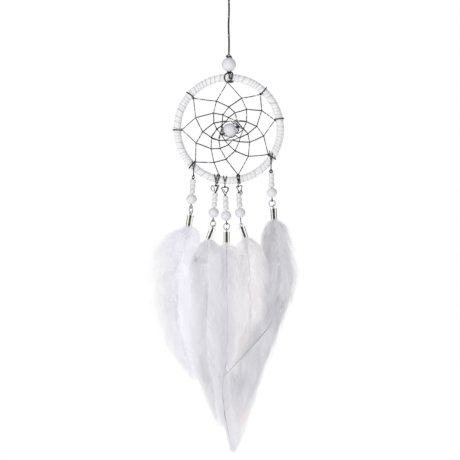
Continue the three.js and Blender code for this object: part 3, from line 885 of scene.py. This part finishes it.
def makeHitch():
    def place(name, height):
        return np.array(hitchSizes[name]) * mm + (0, 0, height)

    cordRadius, twist = hitchSizes["cordRadius"], hitchSizes["twist"]
    radius = hoopSizes["laceRadius"] + hoopSizes["laceStep"] + cordRadius * hitchSizes["sink"]
    spine = hoopMiddle + (0, 0, hoopSizes["radius"])
    t = np.linspace(0, fullTurn, 50, endpoint=False)
    surfaces = []
    for across, lean in np.array(hitchSizes["turns"]) * mm:
        turn = spine + np.stack([across + lean * np.cos(t), -radius * np.sin(t), radius * np.cos(t)],
                                axis=-1)
        surfaces.append(carried(turn, cordRadius, (1, 0, 0), sides=12, closed=True,
                                pitch=radius * fullTurn / hitchSizes["pliesPerTurn"]))
    bight = smoothPath(place("bight", spine[2] - radius), 40)
    surfaces.append(carried(bight, hitchSizes["bightRadius"], (0, 0, 1), sides=12,
                            pitch=hitchSizes["bightTwist"]))
    surfaces.append(knotted(place("knot", spine[2] + radius), np.array(hitchSizes["knotSize"]) * mm,
                            cordRadius * hitchSizes["knotThin"], pitch=twist))
    makePiece("hoopHitch", surfaces, finishes["knotCord"], "hitch", ["hoop_hitch"])

    # the knot that rests on the top bead, and its cut end, which slants down beside the bead
    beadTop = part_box("top_bead")[1].z
    makePiece("beadKnot", [
        knotted(place("beadKnot", beadTop), np.array(hitchSizes["beadKnotSize"]) * mm,
                hitchSizes["beadKnotCord"], pitch=twist),
        carried(smoothPath(place("end", beadTop), 30), hitchSizes["endRadius"], pitch=twist),
    ], finishes["knotCord"], "cord")


makeHitch()
print("hitch ready")


# ---- pendants ----

pendantSizes = {
    "cordRadius": 0.3 * mm,
    "twist": 2.2 * mm,
    "bore": 0.5 * mm,
    "beadRadius": 2.9 * mm,
    "beadSquash": 0.98,
    "seedRadius": 1.52 * mm,
    "seedHeight": 2.66 * mm,
    "seedShoulder": 0.6 * mm,
    "seedLean": 0.05,
    "hitchApart": 0.36 * mm,      # the two turns over the hoop
    "hitchSway": (-0.5 * mm, 0.55 * mm),
    "hitchTurn": 0.42 * mm,
    "seedKnotTurn": 0.38 * mm,
    "legsApart": 0.25 * mm,       # forwards and back
    "slackForward": 0.9 * mm,
    "slackTwist": 1.6 * mm,
    "loopRadius": 0.85 * mm,      # small loop of thread that the ring hangs in
    "loopThread": 0.22 * mm,
    "ringRadius": 1.8 * mm,
    "ringWire": 0.291 * mm,
    "ringGap": 9,                 # degrees left open where the ring is closed by hand
    "ringSkew": 0.12 * mm,
    "ringYaw": {1: 60, 2: 40, 3: 20, 5: 15},
}

capSizes = {
    "depth": 2.5 * mm,
    "width": 3.4 * mm,
    "sheet": 0.32 * mm,
    "corner": 0.5 * mm,
    "curl": 0.48 * mm,            # radius of each flap's edge, rolled in at the seam
    "seam": 0.74 * mm,            # gap between the flaps
    "eyeRadius": 0.85 * mm,
    "eyeWire": 0.26 * mm,
    "eyeRise": 1.1 * mm,          # from the eye's middle to its top
    "neckRadius": 0.42 * mm,
    "fillingRadius": 0.85 * mm,
    # how far up the box, and how far drawn in there
    "drawn": [(0, 0.955), (0.05, 0.985), (0.16, 1), (0.5, 0.99), (0.84, 1), (0.95, 0.985), (1, 0.94)],
    "lean": {1: -10, 2: -22, 3: 0, 4: 19, 5: 3},
    "eyeYaw": {1: 150, 2: 130, 3: 110, 4: 0, 5: 105},
}

# the two legs of each pendant's cord below the hoop, as (side, down) from its swing knot, in
# millimetres, and a slack loop beside some of them
legs = {
    1: {"left": [(-0.6, 0.6), (-0.5, 1.8)], "right": [(0.5, 0.7), (0.4, 1.7)], "slack": []},
    2: {"left": [(0.9, 0.4), (0.5, 1.8), (0.1, 3.4)], "right": [(1.6, -0.4), (1.2, 1.6), (0.3, 3.6)],
        "slack": [(-0.6, 0.2), (-2.2, 0.2), (-2.6, 1.4), (-1.6, 3.2), (-0.6, 2.8), (-0.9, 1.2),
                  (-1.9, 0.3)]},
    3: {"left": [(-1.7, 0.2), (-1.6, 1.6), (-0.5, 3.8)], "right": [(1.2, 0.2), (1.6, 1.6), (0.6, 3.4)],
        "slack": [(-1.2, 0.8), (0.2, 3.0), (1.5, 2.4), (1.9, 0.8), (1.2, -0.2)]},
    4: {"left": [(-0.9, 0.2), (-0.3, 1.6), (0.2, 3.6)], "right": [(2.0, -0.3), (1.8, 1.4), (1.3, 3.2)],
        "slack": [(0.4, 3.0), (1.4, 2.4), (2.0, 3.6), (1.2, 4.6), (0.3, 4.0)]},
    5: {"left": [(-0.9, 0.2), (-0.6, 1.2)], "right": [(0.8, 0.3), (0.6, 1.3)], "slack": []},
}


def level(yaw):
    return np.array([math.cos(yaw), math.sin(yaw), 0])


def makeSeeds(n, axis):
    half = pendantSizes["seedHeight"] / 2
    shoulder, bore = pendantSizes["seedShoulder"], pendantSizes["bore"]
    angle = np.linspace(-math.pi / 2, math.pi / 2, 15)
    for i in (1, 2, 3):
        radius = pendantSizes["seedRadius"] * (1 + 0.03 * math.sin(5.3 * n + 2.1 * i))
        outer = np.stack([
            radius - shoulder + shoulder * np.cos(angle),
            half * np.sign(np.sin(angle)) * np.abs(np.sin(angle))**0.7,
        ], axis=-1)
        inner = np.array([(bore, half * 0.93), (bore * 0.92, 0), (bore, -half * 0.93)])
        lean = pendantSizes["seedLean"] * np.array([math.sin(3 * n + 4 * i), math.cos(2 * n + 5 * i), 0])
        node = f"pendant_{n}_seed_{i}"
        seed = turnedSolid(np.concatenate([outer, inner]), middle(node), axis + lean, 30, 0.012, n + i)
        makePiece(f"pendant{n}Seed{i}", [seed], finishes["seed"], f"strand_{n}", [node])


# the turn of doubled cord over the hoop: an oval round the wire in an upright plane, closed by the
# small turns of its knot
def makePendantHitch(n, pivot):
    radius, apart = pendantSizes["cordRadius"], pendantSizes["hitchApart"]
    across = pivot[0] - hoopMiddle[0]
    drop = math.sqrt(hoopSizes["radius"]**2 - across**2)
    steep = drop / hoopSizes["radius"]
    spine = hoopMiddle + (across, 0, -drop)
    reachOut = hoopSizes["laceRadius"] + hoopSizes["laceStep"] + radius
    angle = np.radians([-35, 0, 45, 90, 135, 180, 215])
    knot = pivot + (0, 0, 0.3 * mm)
    surfaces = []
    for shift, sway in zip((-apart, apart), pendantSizes["hitchSway"]):
        oval = np.stack([
            shift + sway * np.sin(angle), -reachOut * np.cos(angle), reachOut * np.sin(angle) / steep,
        ], axis=-1) + spine
        route = smoothPath(np.concatenate([[knot], oval, [knot]]), 60)
        surfaces.append(carried(route, radius, (1, 0, 0.1), pitch=pendantSizes["twist"]))
    surfaces.append(smallTurns([pivot + (0, 0, 0.1 * mm)] * 3,
                               [(1, 0.2, 0.6), (0.9, -0.4, -0.7), (0.2, 0.1, 1)],
                               pendantSizes["hitchTurn"], radius * 0.9))
    makePiece(f"pendant{n}Hitch", surfaces, finishes["knotCord"], "hoop",
              [f"pendant_{n}_hitch"])


# cord: its legs meet above the first seed bead, run through the beads and end in a small loop
def makePendantCord(n, pivot, down):
    radius, loopRadius = pendantSizes["cordRadius"], pendantSizes["loopRadius"]
    side = np.array([-down[2], 0, down[0]])

    def bend(name, forward):
        return [pivot + side * s * mm + down * d * mm + (0, forward, 0) for s, d in legs[n][name]]

    seedTop = (middle(f"pendant_{n}_seed_1") - pivot) @ down - pendantSizes["seedHeight"] / 2
    firstSeed = pivot + down * seedTop
    low = reach(f"pendant_{n}_cord", down)[1] - pivot @ down
    loopMiddle = pivot + down * (low - loopRadius - 0.25 * mm)
    surfaces = []
    for leg, forward in (("left", pendantSizes["legsApart"]), ("right", -pendantSizes["legsApart"])):
        route = smoothPath([pivot, *bend(leg, forward), firstSeed, firstSeed + down * 1.2 * mm], 60)
        surfaces.append(carried(route, radius * 0.92, pitch=pendantSizes["twist"]))
    if legs[n]["slack"]:
        route = smoothPath(bend("slack", -pendantSizes["slackForward"]), 80)
        slack = carried(route, radius * 0.8, pitch=pendantSizes["slackTwist"])
        makePiece(f"pendant{n}Slack", [slack], finishes["webThread"], f"strand_{n}")
    surfaces.append(smallTurns([firstSeed - down * 0.5 * mm] * 2,
                               [down + (0.3, 0.3, 0), down - (0.4, 0.1, 0)],
                               pendantSizes["seedKnotTurn"], radius * 0.8))
    straight = np.linspace(firstSeed, loopMiddle - down * loopRadius, 70)
    surfaces.append(carried(straight, radius, pitch=pendantSizes["twist"]))
    flat = level(math.radians(pendantSizes["ringYaw"].get(n, 0) + 90))
    loop = circle(loopMiddle, loopRadius, flat, down, evenAngles(36))
    surfaces.append(carried(loop, pendantSizes["loopThread"], np.cross(flat, down), sides=8, closed=True,
                            pitch=fullTurn * loopRadius / 4))
    makePiece(f"pendant{n}Cord", surfaces, finishes["hangingCord"], f"strand_{n}",
              [f"pendant_{n}_cord"])


def makeStrand(n):
    pivot = jointPlace(f"strand_{n}_swing")
    node = f"pendant_{n}_bead"
    bead = middle(node)
    down = unit(bead - middle(f"pendant_{n}_seed_1"))
    radius = pendantSizes["beadRadius"]
    makePendantHitch(n, pivot)
    makeSeeds(n, -down)
    outline = beadOutline(radius, pendantSizes["bore"], radius * pendantSizes["beadSquash"],
                          beadSizes["edge"])
    makePiece(f"pendant{n}Bead", [turnedSolid(outline, bead, -down, 48, 0.008, n)],
              finishes["bead"], f"bead_{n}", [node])
    makePendantCord(n, pivot, down)


# an open wire ring: a circle less its gap, with its two ends a little out of line
def makeJumpRing(n):
    node = f"pendant_{n}_jump_ring"
    yaw = math.radians(pendantSizes["ringYaw"][n])
    normal = level(yaw + math.pi / 2)
    gap = math.radians(pendantSizes["ringGap"])
    start = math.radians(35 + 40 * n)
    t = np.linspace(start + gap / 2, start + fullTurn - gap / 2, 90)
    skew = pendantSizes["ringSkew"] * np.linspace(-1, 1, 90)**5
    route = circle(middle(node), pendantSizes["ringRadius"], level(yaw), np.array([0, 0, 1]), t)
    makePiece(f"pendant{n}Ring", [carried(route + skew[:, None] * normal, pendantSizes["ringWire"],
                                          normal, sides=14)],
              finishes["wire"], f"ring_{n}", [node], sharp=50)


# The crimp is a strip of sheet whose middle line, seen from above, runs from one rolled edge at the
# seam round the box and back to the other. The section is that line moved half a sheet each way
# along its normal, and it is carried straight down, drawn in a little at both ends.
def crimpSection():
    half, c, r = capSizes["sheet"] / 2, capSizes["corner"], capSizes["curl"]
    w, d = capSizes["width"] / 2 - half, capSizes["depth"] / 2 - half
    roll = np.radians(np.linspace(-10, -90, 7))
    flap = np.stack([capSizes["seam"] / 2 + half + r * (1 - np.cos(roll)), -d + r + r * np.sin(roll)],
                    axis=-1)
    front = np.array([(flap[-1, 0] + 0.08 * mm, -d)])
    a = np.linspace(-math.pi / 2, 0, 8)
    cornerFront = np.stack([w - c + c * np.cos(a), -d + c + c * np.sin(a)], axis=-1)
    right = np.concatenate([flap, front, cornerFront, (cornerFront * (1, -1))[::-1]])
    line = np.concatenate([right, (right * (-1, 1))[::-1]])
    ahead = unit(np.gradient(line, axis=0))
    normal = np.stack([ahead[:, 1], -ahead[:, 0]], axis=-1)
    return np.concatenate([line + normal * half, (line - normal * half)[::-1]])


# returns the middle of the cap's mouth and the way up the cap
def makeEndCap(n):
    node = f"pendant_{n}_end_cap"
    eyeRadius = capSizes["eyeRadius"]
    lean = math.radians(capSizes["lean"][n])
    up = np.array([-math.sin(lean), 0, math.cos(lean)])
    side = np.array([math.cos(lean), 0, math.sin(lean)])
    low, high = reach(node, up)
    spine = side * sum(reach(node, side)) / 2 + deep * sum(reach(node, deep)) / 2
    boxTop = high - 2 * eyeRadius - 2 * capSizes["eyeWire"] + 0.1 * mm
    section = crimpSection()
    share, drawn = np.array(capSizes["drawn"]).T
    height = low + (boxTop - low) * share
    points = (spine + height[:, None, None] * up
              + (section[None, :, :1] * drawn[:, None, None]) * side
              + (section[None, :, 1:] * drawn[:, None, None]) * deep)
    shell = gridSurface(points[None], height[None] - low, closeRows=False)

    yaw = math.radians(capSizes["eyeYaw"][n])
    flat = side * math.cos(yaw) + deep * math.sin(yaw)
    eye = spine + up * (high - capSizes["eyeRise"])
    eyeRing = carried(circle(eye, eyeRadius, flat, up, evenAngles(48)), capSizes["eyeWire"],
                      np.cross(flat, up), sides=12, closed=True)
    neck = smoothPath([
        eye - up * (eyeRadius + 0.1 * mm),
        eye - up * (eyeRadius + 0.35 * mm) + deep * 0.4 * mm,
        spine + up * (boxTop - 0.5 * mm) + deep * (capSizes["depth"] / 2 - 0.3 * mm),
    ], 14)
    shell = [shell, eyeRing, carried(neck, capSizes["neckRadius"], (1, 0, 0))]
    makePiece(f"pendant{n}Cap", shell, finishes["silver"], f"cap_{n}", [node], sharp=38)
    # the filling is painted near black, the shade seen in the seam between the flaps
    plug = np.linspace(spine + up * (low + 0.8 * mm), spine + up * (boxTop - 0.6 * mm), 6)
    makePiece(f"pendant{n}Filling", [carried(plug, capSizes["fillingRadius"], (1, 0, 0), sides=16)],
              finishes["seamShadeFilling"], f"cap_{n}")
    return spine + up * low, up


mouths = {}
for n in (1, 2, 3, 4, 5):
    makeStrand(n)
    if n in pendantSizes["ringYaw"]:
        makeJumpRing(n)
    mouths[n] = makeEndCap(n)
print("pendants ready")


# ---- plumes ----

plumeSizes = {
    "quillInCap": 4 * mm,
    "layerStep": 7 * mm,
    "layerDrop": 12 * mm,
    "shaftRadius": 0.42 * mm,
    "shaftTip": 0.25,        # share of that radius left at the tip
    "firstBarb": 0.4 * mm,   # above the cap's mouth
    "lastBarb": 0.985,       # share of the shaft that bears barbs
    "barbCrowd": 1.4,        # more than 1 crowds them towards the cap
    "barbRadius": 0.08 * mm,
    "barbStations": 9,
    "barbStray": 0.3 * mm,
    "fuzzRadius": 0.036 * mm,
    "fuzzLength": (0.8, 2.3),
    "clump": 6,              # barbs that cling together
    "downy": 22 * mm,        # below the cap the barbs are loose down
    "downyHang": 0.72,       # and come down this much less
}

# What the plumes share unless they say otherwise: the layer in front (-1) or behind (1), half the
# depth in millimetres, how much of the vane follows the shaft forwards, and how much longer the
# lower barbs are.
plumeUsual = {"layer": -1, "depth": 4, "quill": "quill", "follows": 1, "longer": 0, "blush": None,
              "slot": "white_plume"}

# Stations are below the cap's mouth, in millimetres: (side, down, half width) for the outline, and
# (side, forward, down) for the shaft. barbs and fuzz are how many there are, hang how far a barb
# comes down from its root, reach how far towards the outline it gets.
plumes = {
    1: {
        "outline": [(-0.6, 0.2, 3.2), (-1.2, 1.4, 6.2), (-3.4, 4.4, 9.8), (-5.4, 9.0, 12),
                    (-7.2, 16.9, 13.4), (-7.7, 29.9, 14.3),
                    (-6.7, 44.9, 13.5), (-4.7, 59.9, 10.5), (-0.6, 72.9, 7.5), (4.3, 86.4, 2.0)],
        "shaft": [(-1.4, 0, 8), (-4.5, 0, 20), (-6.5, 0, 40), (-4.0, 0, 60), (0.8, 0, 75)],
        "layer": 0, "depth": 7, "barbs": 3300, "fuzz": 14, "hang": (15, 30), "reach": (0.25, 1.06),
        "wobble": 0.8, "glow": 0.195,
        "root": (0.89, 0.885, 0.92), "tip": (0.955, 0.95, 0.975),
    },
    2: {
        "outline": [(-0.1, 0.2, 2.6), (-0.4, 1.6, 4.6), (-0.6, 4.2, 6.6), (-0.8, 9.5, 8.2),
                    (-1.2, 26.9, 9.5), (-1.2, 46.9, 9.2),
                    (-0.6, 66.9, 8.6), (2.8, 84.9, 6.6), (7.4, 104.9, 1.5)],
        "shaft": [(-0.4, 0, 8), (-0.2, 0, 26), (-1.2, 0, 50), (0.2, 0, 72), (5.4, 0, 92)],
        "barbs": 2700, "fuzz": 13, "hang": (14, 28), "reach": (0.5, 1.04),
        "wobble": 0.6, "glow": 0.145,
        "root": (0.86, 0.855, 0.885), "tip": (0.94, 0.935, 0.955),
    },
    3: {
        "outline": [(0, 0.2, 2.6), (0, 1.6, 4.8), (0.2, 4.4, 7.0), (0.4, 12.7, 9.2), (0.4, 36.7, 10),
                    (0.9, 61.7, 9.5),
                    (2.6, 80.7, 10), (5.0, 96.7, 9), (5.2, 108.7, 5.4), (3.4, 117.7, 1.0)],
        "shaft": [(0, 0, 8), (0.3, 0, 36), (0.4, -1, 62), (-2.2, -3, 80), (-1.4, -6, 94),
                  (0.6, -6, 105), (3.2, -5, 116)],
        "layer": 1, "barbs": 3000, "fuzz": 12, "hang": (14, 28), "reach": (0.5, 1.02),
        "wobble": 0.42, "glow": 0.18, "follows": 0.8, "longer": 0.2, "quill": "lowQuill",
        "root": (0.85, 0.845, 0.87), "tip": (0.92, 0.915, 0.93),
    },
    4: {
        "outline": [(0.3, 0.2, 2.8), (0.9, 1.6, 5.0), (1.6, 4.2, 7.2), (2.2, 9.3, 8.8),
                    (2.4, 23.3, 9.5), (2.4, 43.3, 10),
                    (1.4, 63.3, 9.2), (0.2, 82.3, 7.2), (-1.4, 96.3, 5), (-3.0, 106.3, 1.2)],
        "shaft": [(1.2, 0, 8), (2.8, 0, 24), (2.6, 0, 46), (1.0, 0, 70), (-2.2, 0, 100)],
        "barbs": 2800, "fuzz": 14, "hang": (14, 27), "reach": (0.5, 1.04),
        "wobble": 0.65, "glow": 0.165,
        "root": (0.885, 0.875, 0.89), "tip": (0.95, 0.94, 0.95), "blush": (0.94, 0.86, 0.87),
    },
    5: {
        "outline": [(0, 0.2, 2.8), (0, 1.6, 4.8), (0.3, 4.0, 6.4), (1.0, 10.4, 8.6), (2.2, 19.7, 10.2),
                    (3.3, 30.7, 10.4),
                    (1.3, 40.7, 10.2), (-2.2, 52.7, 8.8), (-7.0, 64.7, 9), (-12.5, 76.7, 9.5),
                    (-16.0, 90.7, 8), (-19.0, 103.7, 5), (-21.5, 113.7, 1.2)],
        "shaft": [(1.0, 0, 8), (3.4, -1, 24), (2.6, -4, 40), (-1.0, -8.4, 54), (-5.4, -11, 62),
                  (-17.0, -11.2, 75), (-28.4, -10, 87)],
        "layer": 0, "barbs": 3400, "fuzz": 11, "hang": (13, 27), "reach": (0.5, 1.03),
        "wobble": 0.4, "glow": 0.147, "follows": 0.88, "longer": 0.9,
        "quill": "greyQuill", "slot": "grey_plume",
        "root": (0.765, 0.76, 0.785), "tip": (0.87, 0.865, 0.89),
    },
}


# closed three-sided spikes: a small triangle round each root, and a point
def spikes(roots, tips, radius):
    ahead = unit(tips - roots)
    side = unit(np.cross(ahead, (0.41, 0.25, 0.88)))
    up = np.cross(ahead, side)
    a = evenAngles(3)[None, :, None]
    ring = roots[:, None] + radius * (np.cos(a) * side[:, None] + np.sin(a) * up[:, None])
    points = np.concatenate([ring, tips[:, None]], axis=1)
    faces = np.array([(0, 1, 3), (1, 2, 3), (2, 0, 3), (2, 1, 0)])
    faces = (np.arange(len(roots))[:, None, None] * 4 + faces).reshape(-1, 3)
    return {"points": points.reshape(-1, 3), "faces": [faces], "uvs": [np.zeros((len(faces) * 3, 2))]}


# values of a table of (place, ...) rows at the given places
def readAt(table, where):
    return np.stack([np.interp(where, table[:, 0], table[:, i]) for i in range(1, table.shape[1])], axis=-1)


# the shaft's line, from inside the cap on, and a table of the vane by how far down it is: its
# middle, its half width and how far back it lies. Most of the vane follows its shaft forwards.
def plumeLines(p, up):
    rows = smoothPath(np.array(p["outline"]) * mm, 300)[:, (1, 0, 2)]
    sunk = np.clip(rows[:, 0] / plumeSizes["layerDrop"], 0, 1)
    behind = p["layer"] * plumeSizes["layerStep"] * sunk * sunk * (3 - 2 * sunk)
    stations = np.array(p["shaft"]) * mm
    forward = np.interp(rows[:, 0], stations[:, 2], stations[:, 1])
    stations[:, 1] += np.interp(stations[:, 2], rows[:, 0], behind)
    stations[:, 2] *= -1
    shaftLine = smoothPath(np.concatenate([[up * plumeSizes["quillInCap"], (0, 0, 0)], stations]), 300)
    return shaftLine, np.column_stack([rows, behind + p["follows"] * forward])


# Each barb leaves the shaft and hangs. At share u of its length it has come down hang * u^p, and has
# passed from its root to its own line inside the outline by 1 - (1 - u)^q. Its line lies at
# half width * r * cos(turn) to the side and depth * r * sin(turn) to the back. A slow wobble grows
# with u, and the barbs of one clump share most of it. Returns how downy each barb is as well.
def plumeBarbs(p, random, shaftLine, table, u):
    lower = p["outline"][-1][1] * mm
    distance = lengthAlong(shaftLine)
    atMouth = distance[np.argmin(np.linalg.norm(shaftLine, axis=1))]
    count, clumps = p["barbs"], p["barbs"] // plumeSizes["clump"]
    group = np.sort(random.integers(0, clumps, count))

    def shared(*spread):
        return random.uniform(*spread, clumps)[group]

    share = np.clip((group + random.uniform(-1.5, 1.5, count)) / clumps, 0, 1)**plumeSizes["barbCrowd"]
    place = atMouth - plumeSizes["firstBarb"] + (distance[-1] - atMouth) * plumeSizes["lastBarb"] * share
    root = readAt(np.column_stack([distance, shaftLine]), place)
    rootDown = -root[:, 2]
    downy = np.clip(1 - rootDown / plumeSizes["downy"], 0, 1)
    hang = shared(*p["hang"]) * random.uniform(0.85, 1.15, count) * mm
    hang *= 1 - plumeSizes["downyHang"] * downy**2 * shared(0.3, 1.0)
    hang *= 1 + p["longer"] * rootDown / lower
    hang = np.minimum(hang, np.maximum(lower - rootDown, 0) * random.uniform(0.35, 1.0, count) + 1.5 * mm)
    turn = shared(0, fullTurn) + random.normal(0, 0.14, count)
    r = np.sqrt(shared(p["reach"][0]**2, p["reach"][1]**2)) * random.uniform(0.88, 1.06, count)
    across = np.sign(np.cos(turn)) * np.abs(np.cos(turn))**0.6 * r

    down = rootDown[:, None] + hang[:, None] * u**(1.3 + 0.8 * downy)[:, None]
    down = np.minimum(down, lower + (down - lower) * 0.08)
    middleX, width, layerY = np.moveaxis(readAt(table, down), -1, 0)
    depth = np.minimum(p["depth"] * mm, 0.8 * width) * np.interp(down, (0, lower), (1.0, 0.55))
    passed = 1 - (1 - u)**(1.7 + 0.9 * downy[:, None])
    line = np.stack([middleX + across[:, None] * width, layerY + depth * (r * np.sin(turn))[:, None],
                     -down], axis=-1)
    start = np.concatenate([np.broadcast_to(root[:, None, :2], (count, len(u), 2)), -down[..., None]],
                           axis=-1)
    rate, phase = shared(0.6, 1.8), shared(0, fullTurn) + random.normal(0, 0.45, count)
    phase = phase[:, None]
    swing = fullTurn * rate[:, None] * u + phase
    stray = random.normal(0, 1, (count, 2, 1)) * plumeSizes["barbStray"]
    grown = u**1.2 * p["wobble"] * mm
    barbs = start + (line - start) * passed[..., None]
    barbs[..., 0] += (np.sin(swing) - np.sin(phase)) * grown + stray[:, 0] * u**1.5
    barbs[..., 1] += (np.cos(1.3 * swing) - np.cos(1.3 * phase)) * grown + stray[:, 1] * u**1.5
    return barbs, downy


# fuzz: short spikes off the barbs, slanting forwards on both sides
def plumeFuzz(p, random, barbs, downy):
    count, stations, _ = barbs.shape
    where = random.uniform(0.1, 1.0, (count, p["fuzz"])) * (stations - 1)
    low = np.minimum(where.astype(int), stations - 2)
    rest = (where - low)[..., None]
    index = np.arange(count)[:, None]
    foot = barbs[index, low] * (1 - rest) + barbs[index, low + 1] * rest
    direction = unit(barbs[index, low + 1] - barbs[index, low])
    aside = unit(np.cross(direction, random.normal(0, 1, direction.shape)))
    soft = (0.5 + 0.6 * downy)[:, None, None]
    length = random.uniform(*plumeSizes["fuzzLength"], (count, p["fuzz"], 1)) * mm * soft
    spike = (direction * 0.8 + aside * 0.8) * length
    return spikes(foot.reshape(-1, 3), (foot + spike).reshape(-1, 3), plumeSizes["fuzzRadius"])


def makePlume(n):
    p = plumeUsual | plumes[n]
    mouth, up = mouths[n]
    random = np.random.default_rng(100 + n)
    shaftLine, table = plumeLines(p, up)
    u = np.linspace(0, 1, plumeSizes["barbStations"])
    barbs, downy = plumeBarbs(p, random, shaftLine, table, u)
    barbs += mouth
    taper = plumeSizes["barbRadius"] * (0.2 + 0.8 * (1 - u)**0.7)
    # the shaft is thick in the cap and hair-fine at the tip
    bare = shaftLine[::4] + mouth
    thick = plumeSizes["shaftRadius"] * np.linspace(1, plumeSizes["shaftTip"], len(bare))

    white = plumeFinish(f"plume{n}White", p["root"], p["tip"], p["glow"], p["blush"])
    pieces = (
        ("Barbs", carried(barbs, taper[None], (0.23, 0.35, 0.91), sides=3), white,
         [f"pendant_{n}_feather"]),
        ("Fuzz", plumeFuzz(p, random, barbs, downy), white, ()),
        ("Shaft", carried(bare, thick[None]), finishes[p["quill"]], ()),
    )
    for name, surface, material, replaced in pieces:
        makePiece(f"pendant{n}{name}", [surface], material, f"cap_{n}", replaced)
    print("plume", n, "has", len(barbs), "barbs and", len(barbs) * p["fuzz"], "spikes of fuzz")


for n in plumes:
    makePlume(n)

print("all pieces ready")
